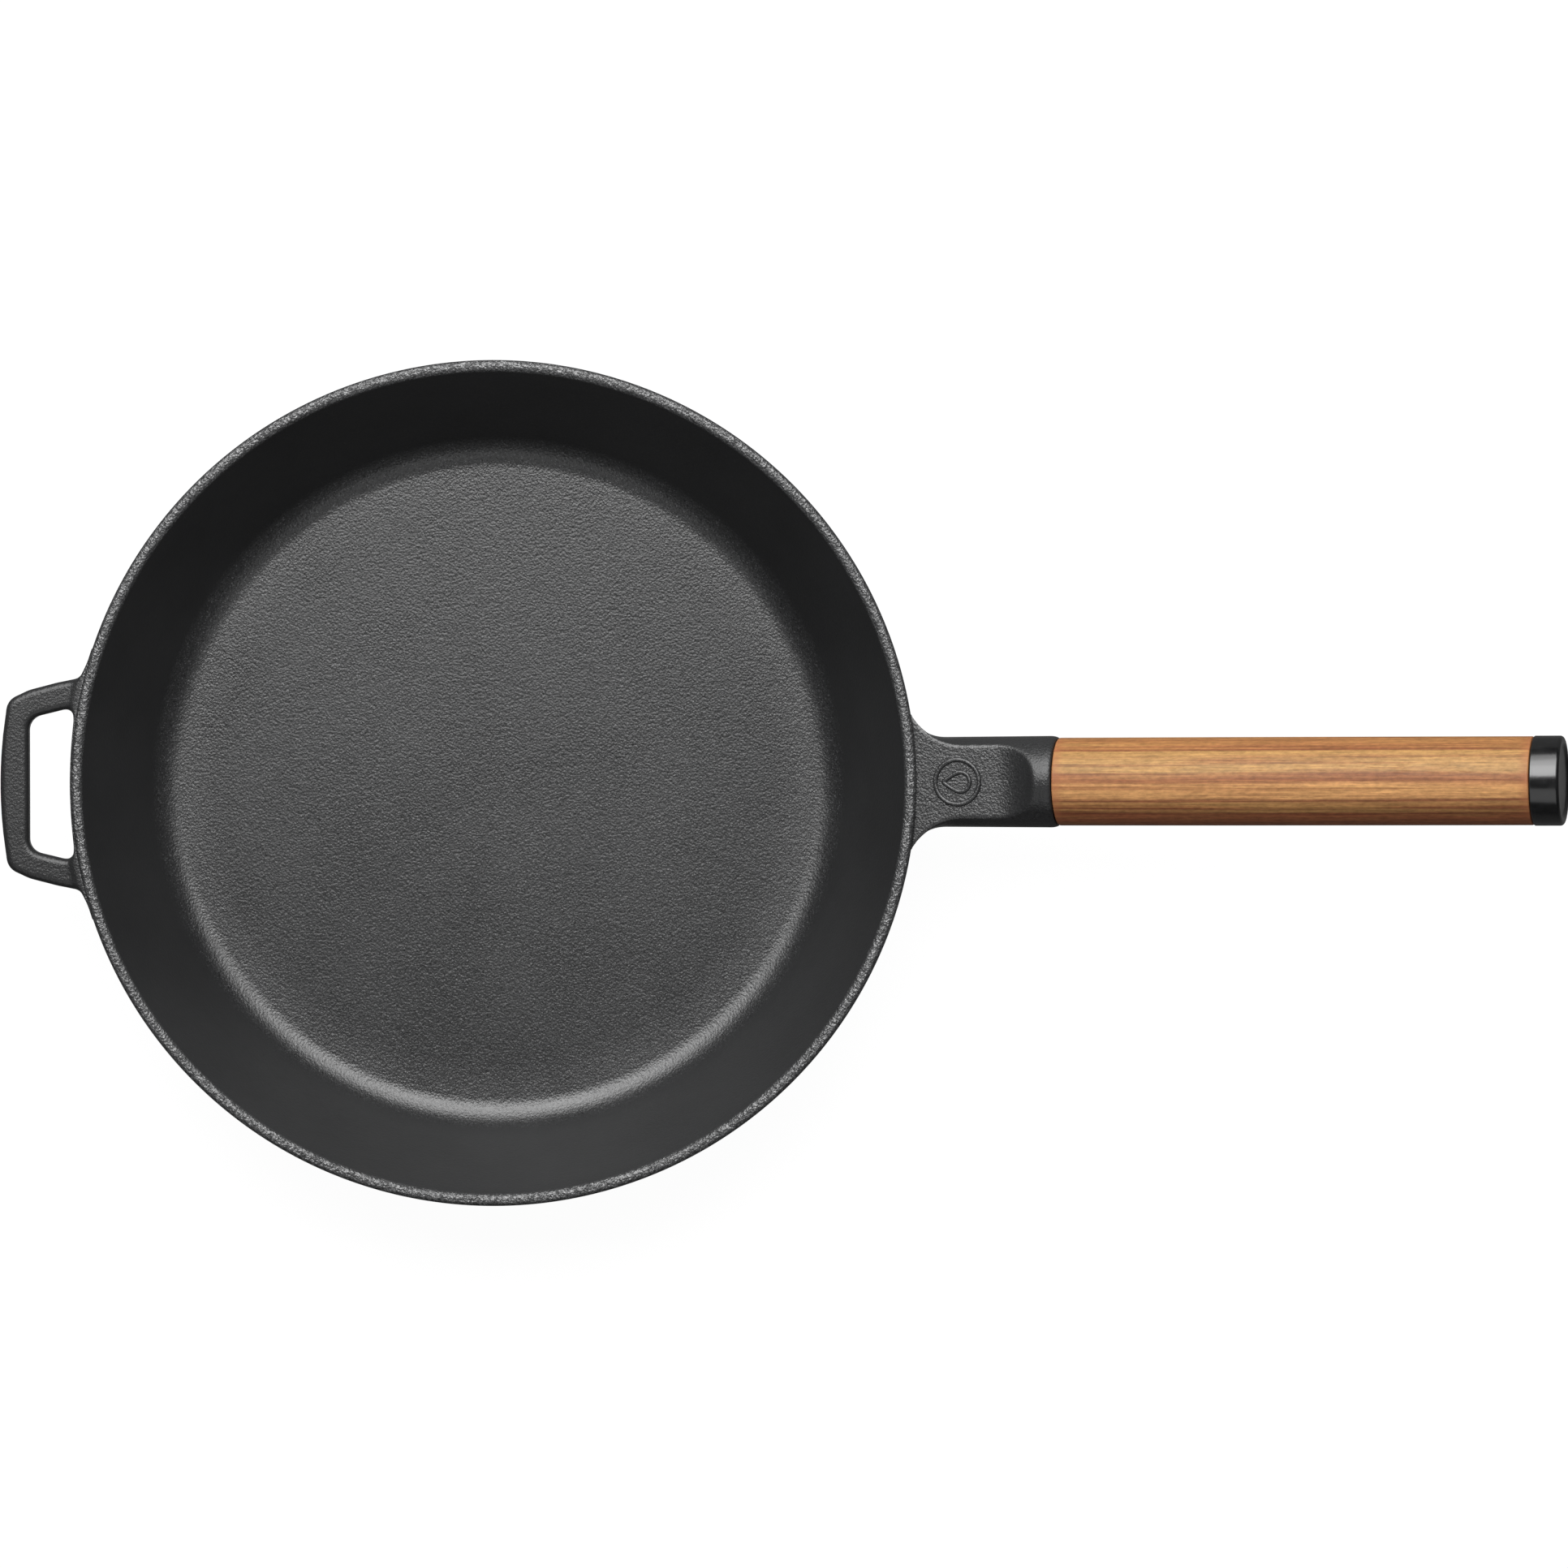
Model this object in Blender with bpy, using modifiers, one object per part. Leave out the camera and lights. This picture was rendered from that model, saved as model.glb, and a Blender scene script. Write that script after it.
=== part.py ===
"""Cast iron skillet with a wooden handle that unscrews.

One iron casting (bowl, helper loop, neck and threaded socket) takes a bored
wooden grip. A tie rod runs through the grip, screws into the casting and is
turned by the iron cap on its far end.

Frame: origin at the centre of the flat underside, +Z up, +X along the handle.
Dimensions are in millimetres and become metres in `mm`. The handle's parts are
drawn about the handle's axis: their Z is 0 at the socket's mouth and grows
away from the bowl. A plain _R is a radius and _T a thickness.
"""

import math

import bmesh
import bpy
from mathutils import Matrix, Vector

# ---------------------------------------------------------------- dimensions
PLAY = 0.3  # gap between neighbouring parts of the handle

# bowl
RIM_R = 152.0  # outside of the rim
RIM_INNER_R = 148.2  # inside of the rim
RIM_Z = 55.0  # top of the rim above the underside
FLOOR_T = 4.5
BASE_CORNER_R = 125.3  # where the outer wall's line meets the underside
FLOOR_CORNER_R = 122.9  # where the inner wall's line meets the floor
BASE_FILLET = 16.5
FLOOR_FILLET = 12.5
RIM_OUTER_ROUND = 1.7
RIM_INNER_ROUND = 2.4
RIM_INNER_STEPS = 4
HOLLOW_ABOVE = 6.0  # how far the hollow's cutter stands above the rim
BOWL_STEPS = 88
WALL_SPREAD = (RIM_R - BASE_CORNER_R) / RIM_Z  # outer wall's growth in radius with height

# helper loop, opposite the handle
LOOP_TIP_X = -177.4  # where the outer edge's parabola crosses the X axis
LOOP_BULGE = 0.0031  # how fast that edge curves back, per mm
LOOP_EDGE_Y = (24.0, 18.0, 12.0, 6.0, 2.0)  # where that edge has its points
LOOP_T = 8.6
LOOP_Z = 48.6  # middle height
LOOP_EDGE = 2.3  # rounding of its edges
# +Y half of the outline, from inside the bowl outward: x, y, corner radius
LOOP_SIDE = [
    (-136.0, 30.0, 0),
    (-140.5, 46.5, 0),
    (-148.6, 38.2, 4.5),
    (-157.0, 36.5, 22.0),
    (-167.0, 33.9, 14.0),
    (-174.75, 30.25, 6.0),
]
# +Y half of the finger hole: x, y, corner radius
LOOP_HOLE = [(-149.0, 28.2, 5.0), (-167.1, 23.75, 5.4)]

# handle axis, through the centre of the socket's mouth
TILT = math.radians(13.0)  # how far the handle rises
MOUTH_X = 203.0
MOUTH_Z = 55.0

# neck
NECK_R = 16.2
COLLAR_R = 16.45
COLLAR_TAPER = 40.0  # length over which the neck widens to the collar
COLLAR_ROUND = 1.6
COLLAR_ANGLES = (0, 25, 50, 72, 90)  # rings around the collar's rounding, degrees
NECK_SIDES = 40
NECK_START = -84.0  # inside the bowl, where the hollow cuts it away
NECK_LAST_EVEN = -24.0  # last ring before the collar's rounding
WALL_SEARCH = (-90.0, -20.0)  # the neck meets the wall between these
WALL_HALVINGS = 30
ROOT_FILLET = 13.8  # fillets into the wall
ROOT_BITE = 0.6  # how far they run on into it
ROOT_LEAD = 1.5  # extra reach of the fillets' first ring into the wall
ROOT_ANGLES = (0, 11, 22, 34, 46, 60, 75, 90)  # rings along the fillets, degrees
SPREAD_SHARE = 0.35  # share of the fillet kept on the neck's top and bottom
SPREAD_LIFT = 0.6  # share of the spread that acts up and down
FACET_H = 9.68  # flat on the neck's top, above the axis
FACET_CUT_TOP = 45.0  # top of the flat's cutter
FACET_STEPS = 96
SCOOP_R = 16.0  # rounded end of that flat
SCOOP_AT = -19.3
SCOOP_PLAN_R = 70.0  # the same end seen from above

# socket
SOCKET_R = 10.5
SOCKET_FLAT = 8.2  # half the width across the socket's two flats
SOCKET_DEPTH = 9.5
SOCKET_STEPS = 40
SOCKET_CUT_TOP = 6.0  # the cutter stands out of the mouth
BORE_CLEAR_R = 5.4
BORE_CLEAR_DEPTH = 1.6  # below the socket's floor
BORE_CONE_R = 3.4  # narrow end of the countersink
BORE_CONE_DEPTH = 3.4  # below the socket's floor
BORE_OVERLAP = 1.0  # the cutter's reach up into the socket
DRILL_FROM = -10.0
DRILL_DEPTH = 30.5
DRILL_POINT = 2.4
DRILL_R = 4.37  # the tapped hole's minor radius
TAP_FROM, TAP_TO = -10.6, -28.2  # the thread that is kept
TAP_CUT_R = 7.0

# M10 x 1.5 thread
PITCH = 1.5
THREAD_CREST_R = 4.95
THREAD_H = 0.81
THREAD_CREST_W = 0.19
THREAD_ROOT_W = 0.37
THREAD_CLEAR = 0.15  # radial play of the rod in the casting's thread
THREAD_STEPS = 20
THREAD_PHASE = -45.0  # both threads are in step with this place
THREAD_CONE = 2.0  # length of the cones that close a thread's ends

# tie rod
ROD_R = 5.0
ROD_CHAMFER = 0.6
ROD_HOLE_R = ROD_R + PLAY
RELIEF_R = 4.0
RELIEF_TAPER = (-10.4, -11.2)  # from the rod's full radius down to the relief
ROD_TIP = -25.5
THREAD_START = -12.2
ROD_OVERLAP = 0.6  # the plain rod's reach into the thread
ROD_END = 178.6
THREAD_FORM_R = 5.4  # clear of the crests
THREAD_FORM_START = (3.9, 0.9)  # radius and length of the taper at the thread's start
THREAD_FORM_TIP = (3.8, 1.4)  # the same at the rod's tip

# wooden grip
GRIP_R = 15.75
GRIP_FROM = PLAY
GRIP_TO = 171.3
GRIP_ROUND = 0.6
TENON_R = SOCKET_R - PLAY
TENON_FLAT = SOCKET_FLAT - PLAY
TENON_END = -7.5
TENON_CUT = (40.0, 10.0, 12.0)  # cutter of each flat, across, outward and along
SPIGOT_R = 13.4
SPIGOT_END = 175.8
SPIGOT_ROUND = 0.5
GRIP_BORE_R = 5.35
COUNTERBORE_R = 10.4
COUNTERBORE_AT = 167.6
TURNED_STEPS = 48

# small hardware, stacked outward from the counterbore's floor
WASHER_AT = COUNTERBORE_AT + PLAY
WASHER_T = 1.5
WASHER_R = 9.8
WASHER_STEPS = 32
SPRING_AT = WASHER_AT + WASHER_T + PLAY
SPRING_T = 0.9
SPRING_RISE = 0.5  # how far its inner edge stands up
SPRING_R = 9.3
NUT_AT = SPRING_AT + SPRING_RISE + SPRING_T + PLAY
NUT_T = 4.5
NUT_END = NUT_AT + NUT_T
NUT_FLATS = 16.0
NUT_CORNER_R = NUT_FLATS / 2 / math.cos(math.pi / 6)
NUT_FORM_OVER = 0.5  # the chamfering form's reach past each face
NUT_FORM_BAND = 0.7  # depth below each face where its cones end
NUT_FORM_IN, NUT_FORM_OUT = 1.9, 0.6  # cone radii, inside and outside the corners
NUT_FORM_STEPS = 36
NUT_HOLE_ABOVE, NUT_HOLE_BELOW = 9.0, 4.0  # ends of the hole's cutter from NUT_AT
NUT_HOLE_STEPS = 24

# retaining ring and its groove, at the socket end of the rod
RING_AT = -8.8
RING_T = 0.9
RING_R = 8.0
RING_HOLE_R = 4.5
RING_HALF_GAP = math.radians(32)
RING_OUTER_STEPS, RING_INNER_STEPS = 28, 24
GROOVE_R = 4.2
GROOVE_PLAY = 0.2
GROOVE_FROM = RING_AT - GROOVE_PLAY
GROOVE_TO = RING_AT + RING_T + GROOVE_PLAY

# end cap
CAP_R = 15.95
CAP_FROM = GRIP_TO + PLAY
CAP_TO = 182.0
CAP_OUTER_ROUND = 1.3
CAP_MOUTH_ROUND = 0.4
CAP_CUP_R = 13.75
CAP_CUP_END = 177.4
CAP_CUP_ROUND = 0.6
CAP_BOSS_R = 8.0
CAP_BOSS_END = NUT_END + PLAY
CAP_RECESS_R = 13.2
CAP_RECESS = 0.7
CAP_RECESS_FLARE = 0.5
CAP_RECESS_ROUND = 0.4

# arcs and mesh clean-up
LARGE_ARC_R = 5.0  # arcs above this radius take the fine step
FINE_STEP, COARSE_STEP = math.radians(12), math.radians(30)
WELD, PLATE_WELD = 2e-6, 1e-5  # metres
SHARP_ANGLE = math.radians(32)

# ---------------------------------------------------------------- the scene


def mm(*values):
    """Millimetres to a vector in metres."""
    return Vector(values) * 0.001


for old in list(bpy.data.objects):
    bpy.data.objects.remove(old, do_unlink=True)

parts = bpy.data.collections.new("cast_iron_skillet")
cutters = bpy.data.collections.new("cutters")
bpy.context.scene.collection.children.link(parts)
bpy.context.scene.collection.children.link(cutters)

AXIS = Vector((math.cos(TILT), 0.0, math.sin(TILT)))
UP = Vector((-math.sin(TILT), 0.0, math.cos(TILT)))
MOUTH = mm(MOUTH_X, 0.0, MOUTH_Z)


def add_object(name, data, group, parent=None):
    """An object in a collection; cutters show as wire and don't render."""
    obj = bpy.data.objects.new(name, data)
    group.objects.link(obj)
    obj.parent = parent
    if group is cutters:
        obj.hide_render = True
        obj.display_type = "WIRE"
    return obj


def add_empty(name, parent=None):
    """An empty that carries parts of the handle."""
    empty = add_object(name, None, parts, parent)
    empty.empty_display_type = "ARROWS"
    empty.empty_display_size = 0.03
    return empty


handle_axis = add_empty("handle_axis")
handle_axis.location = MOUTH
handle_axis.rotation_euler = (0.0, math.pi / 2 - TILT, 0.0)  # its Z along the handle
grip_carrier = add_empty("grip_carrier", handle_axis)
rod_carrier = add_empty("rod_carrier", grip_carrier)

# ---------------------------------------------------------------- geometry helpers


def rounded(corners, closed=False):
    """A path through corners (x, y, radius), each corner with a radius replaced by its arc."""
    path, count = [], len(corners)
    for i, (x, y, radius) in enumerate(corners):
        here = Vector((x, y))
        if radius <= 0 or (not closed and i in (0, count - 1)):
            path.append((x, y))
            continue
        back = (Vector(corners[i - 1][:2]) - here).normalized()
        ahead = (Vector(corners[(i + 1) % count][:2]) - here).normalized()
        inside = math.acos(max(-1.0, min(1.0, back.dot(ahead))))
        reach = radius / math.tan(inside / 2)
        middle = here + (back + ahead).normalized() * (radius / math.sin(inside / 2))
        first, last = here + back * reach - middle, here + ahead * reach - middle
        start = math.atan2(first.y, first.x)
        sweep = math.atan2(
            first.x * last.y - first.y * last.x, first.x * last.x + first.y * last.y
        )
        step = FINE_STEP if radius > LARGE_ARC_R else COARSE_STEP
        steps = max(2, math.ceil(abs(sweep) / step))
        for k in range(steps + 1):
            angle = start + sweep * k / steps
            path.append(
                (middle.x + radius * math.cos(angle), middle.y + radius * math.sin(angle))
            )
    return path


def rod_path(radius, high, low):
    """Profile of a plain round bar."""
    return [(0.0, high), (radius, high), (radius, low), (0.0, low)]


def mesh_from(work, name):
    """A new mesh from a bmesh, which is freed."""
    mesh = bpy.data.meshes.new(name)
    work.to_mesh(mesh)
    work.free()
    return mesh


def evaluated_mesh(obj):
    """The mesh an object shows once its modifiers are done."""
    bpy.context.view_layer.update()
    graph = bpy.context.evaluated_depsgraph_get()
    return bpy.data.meshes.new_from_object(obj.evaluated_get(graph), depsgraph=graph)


def tidy(mesh, weld=WELD):
    """Weld coincident points and turn the faces outward."""
    work = bmesh.new()
    work.from_mesh(mesh)
    bmesh.ops.remove_doubles(work, verts=work.verts, dist=weld)
    bmesh.ops.recalc_face_normals(work, faces=work.faces)
    work.to_mesh(mesh)
    work.free()
    mesh.update()
    return mesh


def settle(obj):
    """Turn an object's modifiers into its own mesh."""
    mesh = tidy(evaluated_mesh(obj))
    obj.modifiers.clear()
    old_mesh, obj.data = obj.data, mesh
    bpy.data.meshes.remove(old_mesh)
    return obj


def spun(name, path, closed, steps, group, parent, climb=0.0):
    """A profile (radius, height) spun once about Z, climbing by `climb` as it goes."""
    edges = [(i, i + 1) for i in range(len(path) - 1)]
    if closed:
        edges.append((len(path) - 1, 0))
    mesh = bpy.data.meshes.new(name)
    mesh.from_pydata([mm(radius, 0.0, z) for radius, z in path], edges, [])
    obj = add_object(name, mesh, group, parent)
    spin = obj.modifiers.new("spin", "SCREW")
    spin.axis = "Z"
    spin.angle = 2 * math.pi
    spin.screw_offset = climb * 0.001
    spin.steps = spin.render_steps = steps
    spin.use_merge_vertices = True
    spin.merge_threshold = 0.000001
    spin.use_smooth_shade = True
    return settle(obj)


def turned(name, path, steps, group, parent=None):
    """A turned solid; a profile that starts off the axis is closed into a loop."""
    return spun(name, path, path[0][0] > 0, steps, group, parent)


def threaded(name, extra, low, high, parent):
    """A right-hand threaded bar with conical ends, trimmed later.

    A zigzag of one tooth per pitch is spun once about Z while it climbs one
    pitch, so each tooth runs on into the next. `extra` widens it for a tapped hole.
    """
    root, crest = THREAD_CREST_R - THREAD_H + extra, THREAD_CREST_R + extra
    flank = (PITCH - THREAD_CREST_W - THREAD_ROOT_W) / 2
    first = math.floor((low - THREAD_PHASE) / PITCH) - 1
    last = math.ceil((high - THREAD_PHASE) / PITCH)
    path = []
    for k in range(first, last):
        z = THREAD_PHASE + k * PITCH
        path += [
            (root, z),
            (root, z + THREAD_ROOT_W),
            (crest, z + THREAD_ROOT_W + flank),
            (crest, z + PITCH - flank),
        ]
    path.append((root, THREAD_PHASE + last * PITCH))
    path.reverse()
    obj = spun(name, path, False, THREAD_STEPS, cutters, parent, climb=PITCH)

    # each open end is closed by a cone of faces to a point on the axis
    work = bmesh.new()
    work.from_mesh(obj.data)
    rim = [e for e in work.edges if e.is_boundary]
    middle = sum((v.co.z for v in work.verts), 0.0) / len(work.verts)
    for sign in (-1, 1):
        ring = [e for e in rim if (sum(v.co.z for v in e.verts) / 2 - middle) * sign > 0]
        reach = max(v.co.z * sign for e in ring for v in e.verts)
        tip = work.verts.new((0.0, 0.0, sign * (reach + THREAD_CONE * 0.001)))
        for edge in ring:
            work.faces.new((edge.verts[0], edge.verts[1], tip))
    bmesh.ops.recalc_face_normals(work, faces=work.faces)
    work.to_mesh(obj.data)
    work.free()
    return obj


def plate(name, outlines, thickness, group, parent=None, edge=0.0):
    """A plate from closed outlines in mm: a filled 2D curve, made a mesh."""
    curve = bpy.data.curves.new(name, "CURVE")
    curve.dimensions = "2D"
    curve.fill_mode = "BOTH"
    curve.extrude = (thickness / 2 - edge) * 0.001
    curve.bevel_depth = edge * 0.001
    curve.bevel_resolution = 2
    curve.offset = -edge * 0.001
    for outline in outlines:
        spline = curve.splines.new("POLY")
        spline.points.add(len(outline) - 1)
        spline.use_cyclic_u = True
        for point, (x, y) in zip(spline.points, outline):
            point.co = (x * 0.001, y * 0.001, 0.0, 1.0)
    drawn = bpy.data.objects.new(name + "_outline", curve)
    group.objects.link(drawn)
    mesh = tidy(evaluated_mesh(drawn), PLATE_WELD)
    bpy.data.objects.remove(drawn, do_unlink=True)
    return add_object(name, mesh, group, parent)


def block(name, size, centre, parent):
    """A box-shaped cutter, in mm."""
    work = bmesh.new()
    bmesh.ops.create_cube(work, size=1.0)
    bmesh.ops.scale(work, vec=mm(*size), verts=work.verts)
    obj = add_object(name, mesh_from(work, name), cutters, parent)
    obj.location = mm(*centre)
    return obj


def combine(obj, *steps):
    """Booleans in order, each (operation, other object), each settled before the next."""
    for operation, other in steps:
        modifier = obj.modifiers.new(other.name, "BOOLEAN")
        modifier.operation = operation
        modifier.solver = "EXACT"
        modifier.object = other
        settle(obj)
    return obj


# ---------------------------------------------------------------- the casting


def bowl_outside():
    """The bowl's outer form, solid: rim, wall, rounded corner, flat underside."""
    lean = math.atan(WALL_SPREAD)
    sharp_rim = RIM_R + RIM_OUTER_ROUND * (math.tan(lean) + 1 / math.cos(lean) - 1)
    return rounded(
        [
            (0.0, RIM_Z, 0),
            (sharp_rim, RIM_Z, RIM_OUTER_ROUND),
            (BASE_CORNER_R, 0.0, BASE_FILLET),
            (0.0, 0.0, 0),
        ]
    )


def bowl_inside():
    """The hollow, opening out at the rim's inner edge and on above it."""
    lean = math.atan((RIM_INNER_R - FLOOR_CORNER_R) / (RIM_Z - FLOOR_T))
    reach = RIM_INNER_ROUND * math.tan((math.pi / 2 - lean) / 2)
    arc = []
    for k in range(RIM_INNER_STEPS + 1):
        angle = math.pi / 2 + (math.pi / 2 - lean) * k / RIM_INNER_STEPS
        arc.append(
            (
                RIM_INNER_R + reach + RIM_INNER_ROUND * math.cos(angle),
                RIM_Z - RIM_INNER_ROUND + RIM_INNER_ROUND * math.sin(angle),
            )
        )
    top = RIM_Z + HOLLOW_ABOVE
    below = rounded([(*arc[-1], 0), (FLOOR_CORNER_R, FLOOR_T, FLOOR_FILLET), (0.0, FLOOR_T, 0)])
    return [(0.0, top), (arc[0][0], top)] + arc[:-1] + below


def make_helper_loop():
    """The helper loop: a plate with a finger hole, lying flat."""

    def mirrored(half):
        return rounded(half + [(x, -y, radius) for x, y, radius in reversed(half)], True)

    edge = [(LOOP_TIP_X + LOOP_BULGE * y * y, y, 0) for y in LOOP_EDGE_Y]
    outlines = [mirrored(LOOP_SIDE + edge), mirrored(LOOP_HOLE)]
    loop = plate("helper_loop", outlines, LOOP_T, cutters, edge=LOOP_EDGE)
    loop.location = mm(0.0, 0.0, LOOP_Z)
    return loop


def neck_place(along, side, rise):
    """Skillet coordinates, in mm, of a point given about the handle's axis."""
    return (
        MOUTH_X + along * AXIS.x + rise * UP.x,
        side,
        MOUTH_Z + along * AXIS.z + rise * UP.z,
    )


def wall_gap(along, side, rise):
    """Radial distance of such a point outside the bowl's outer wall."""
    x, y, z = neck_place(along, side, rise)
    return math.hypot(x, y) - (BASE_CORNER_R + WALL_SPREAD * z)


def wall_meeting(angle):
    """Where the neck's surface at an angle meets the wall, found by halving."""
    side, rise = NECK_R * math.cos(angle), NECK_R * math.sin(angle)
    low, high = WALL_SEARCH
    for _ in range(WALL_HALVINGS):
        middle = (low + high) / 2
        if wall_gap(middle, side, rise) < 0:
            low = middle
        else:
            high = middle
    return low


def neck_radius(along):
    """The neck's radius, widening to the collar and closing in at its rounded end."""
    widening = max(0.0, min(1.0, (along + COLLAR_TAPER) / COLLAR_TAPER))
    radius = NECK_R + (COLLAR_R - NECK_R) * widening
    lip = max(0.0, along + COLLAR_ROUND)
    return radius - COLLAR_ROUND + math.sqrt(max(0.0, COLLAR_ROUND**2 - lip**2))


def neck_point(along, angle):
    """A point of the neck's surface, moved outward as it nears the wall."""
    radius = neck_radius(along)
    side, rise = radius * math.cos(angle), radius * math.sin(angle)
    gap = max(0.0, min(ROOT_FILLET, wall_gap(along, side, rise) + ROOT_BITE))
    spread = ROOT_FILLET - math.sqrt(ROOT_FILLET**2 - (ROOT_FILLET - gap) ** 2)
    spread *= SPREAD_SHARE + (1 - SPREAD_SHARE) * abs(math.cos(angle))
    side += spread * math.cos(angle)
    rise += SPREAD_LIFT * spread * math.sin(angle)
    return mm(*neck_place(along, side, rise))


def make_neck():
    """The neck and collar: rings lofted along the handle's axis, spreading at the wall."""
    angles = [2 * math.pi * (k + 0.5) / NECK_SIDES for k in range(NECK_SIDES)]
    meets = [wall_meeting(angle) for angle in angles]
    gap_growth = AXIS.x - AXIS.z * WALL_SPREAD  # growth of the wall gap along the axis
    rows = [[NECK_START] * NECK_SIDES]
    for turn in ROOT_ANGLES:
        reach = (ROOT_FILLET * (1 - math.cos(math.radians(turn))) - ROOT_BITE) / gap_growth
        lead = ROOT_LEAD if turn == 0 else 0.0
        rows.append([meet + reach - lead for meet in meets])
    rows.append([NECK_LAST_EVEN] * NECK_SIDES)
    rows += [[-COLLAR_ROUND * math.cos(math.radians(a))] * NECK_SIDES for a in COLLAR_ANGLES]

    work = bmesh.new()
    rings = [
        [work.verts.new(neck_point(along, angle)) for along, angle in zip(row, angles)]
        for row in rows
    ]
    for one, two in zip(rings, rings[1:]):
        for k in range(NECK_SIDES):
            n = (k + 1) % NECK_SIDES
            work.faces.new((one[k], one[n], two[n], two[k]))
    work.faces.new(rings[0])
    work.faces.new(list(reversed(rings[-1])))
    bmesh.ops.recalc_face_normals(work, faces=work.faces)
    neck = add_object("neck", mesh_from(work, "neck"), cutters)
    return combine(neck, ("DIFFERENCE", make_neck_flat()))


def make_neck_flat():
    """Cutter of the flat along the neck's top: a wide round-nosed disc, standing on the flat."""
    arc = [
        (
            SCOOP_PLAN_R + SCOOP_R * math.sin(math.radians(a)),
            FACET_H + SCOOP_R * (1 - math.cos(math.radians(a))),
        )
        for a in range(90, -1, -9)
    ]
    top = [(0.0, FACET_CUT_TOP), (SCOOP_PLAN_R + SCOOP_R, FACET_CUT_TOP)]
    disc = turned("neck_flat", top + arc + [(0.0, FACET_H)], FACET_STEPS, cutters)
    place = Matrix.Translation(MOUTH + AXIS * (SCOOP_AT - SCOOP_PLAN_R) * 0.001)
    turn = Matrix((AXIS, UP.cross(AXIS), UP)).transposed().to_4x4()
    disc.matrix_world = place @ turn
    return disc


def make_socket_round():
    """Cutter of the socket: round with two flats."""
    socket = turned(
        "socket_round",
        rod_path(SOCKET_R, SOCKET_CUT_TOP, -SOCKET_DEPTH),
        SOCKET_STEPS,
        cutters,
        handle_axis,
    )
    size = (40.0, 2 * SOCKET_FLAT, 60.0)  # only the middle one, across the flats, shows
    width = block("socket_width", size, (0.0, 0.0, 0.0), handle_axis)
    return combine(socket, ("INTERSECT", width))


def make_tap():
    """Cutter of the whole handle hole: thread, drilled hole, countersink and socket."""
    socket = make_socket_round()
    floor = -SOCKET_DEPTH
    entry_path = [
        (0.0, floor + BORE_OVERLAP),
        (BORE_CLEAR_R, floor + BORE_OVERLAP),
        (BORE_CLEAR_R, floor - BORE_CLEAR_DEPTH),
        (BORE_CONE_R, floor - BORE_CONE_DEPTH),
        (0.0, floor - BORE_CONE_DEPTH),
    ]
    drill_path = [
        (0.0, DRILL_FROM),
        (DRILL_R, DRILL_FROM),
        (DRILL_R, -DRILL_DEPTH),
        (0.0, -DRILL_DEPTH - DRILL_POINT),
    ]
    entry = turned("bore_entry", entry_path, THREAD_STEPS, cutters, handle_axis)
    drill = turned("drill", drill_path, THREAD_STEPS, cutters, handle_axis)
    for bore in (drill, entry):
        bore.rotation_euler.z = math.pi / THREAD_STEPS  # its flats face the thread's corners
    tap = threaded("tap", THREAD_CLEAR, -28.0, -10.0, handle_axis)
    length = turned(
        "tap_length", rod_path(TAP_CUT_R, TAP_FROM, TAP_TO), THREAD_STEPS, cutters, handle_axis
    )
    return combine(
        tap,
        ("INTERSECT", length),
        ("UNION", drill),
        ("UNION", entry),
        ("UNION", socket),
    )


def make_pan_casting():
    """Bowl, loop and neck in one, then hollowed and tapped."""
    return combine(
        turned("pan_casting", bowl_outside(), BOWL_STEPS, parts),
        ("UNION", make_helper_loop()),
        ("UNION", make_neck()),
        ("DIFFERENCE", turned("bowl_hollow", bowl_inside(), BOWL_STEPS, cutters)),
        ("DIFFERENCE", make_tap()),
    )


# ---------------------------------------------------------------- the handle


def make_handle_grip():
    """The bored wooden grip, with a flatted tenon at the pan and a spigot at the cap."""
    path = rounded(
        [
            (COUNTERBORE_R, SPIGOT_END, 0),
            (SPIGOT_R, SPIGOT_END, SPIGOT_ROUND),
            (SPIGOT_R, GRIP_TO, 0),
            (GRIP_R, GRIP_TO, GRIP_ROUND),
            (GRIP_R, GRIP_FROM, GRIP_ROUND),
            (TENON_R, GRIP_FROM, 0),
            (TENON_R, TENON_END, GRIP_ROUND),
            (GRIP_BORE_R, TENON_END, 0),
            (GRIP_BORE_R, COUNTERBORE_AT, 0),
            (COUNTERBORE_R, COUNTERBORE_AT, 0),
        ],
        True,
    )
    grip = turned("handle_grip", path, TURNED_STEPS, parts, grip_carrier)
    _, outward, along = TENON_CUT
    for side, sign in (("left", 1), ("right", -1)):
        centre = (0.0, sign * (TENON_FLAT + outward / 2), GRIP_FROM - along / 2)
        flat = block(f"tenon_flat_{side}", TENON_CUT, centre, grip_carrier)
        combine(grip, ("DIFFERENCE", flat))
    return grip


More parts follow.
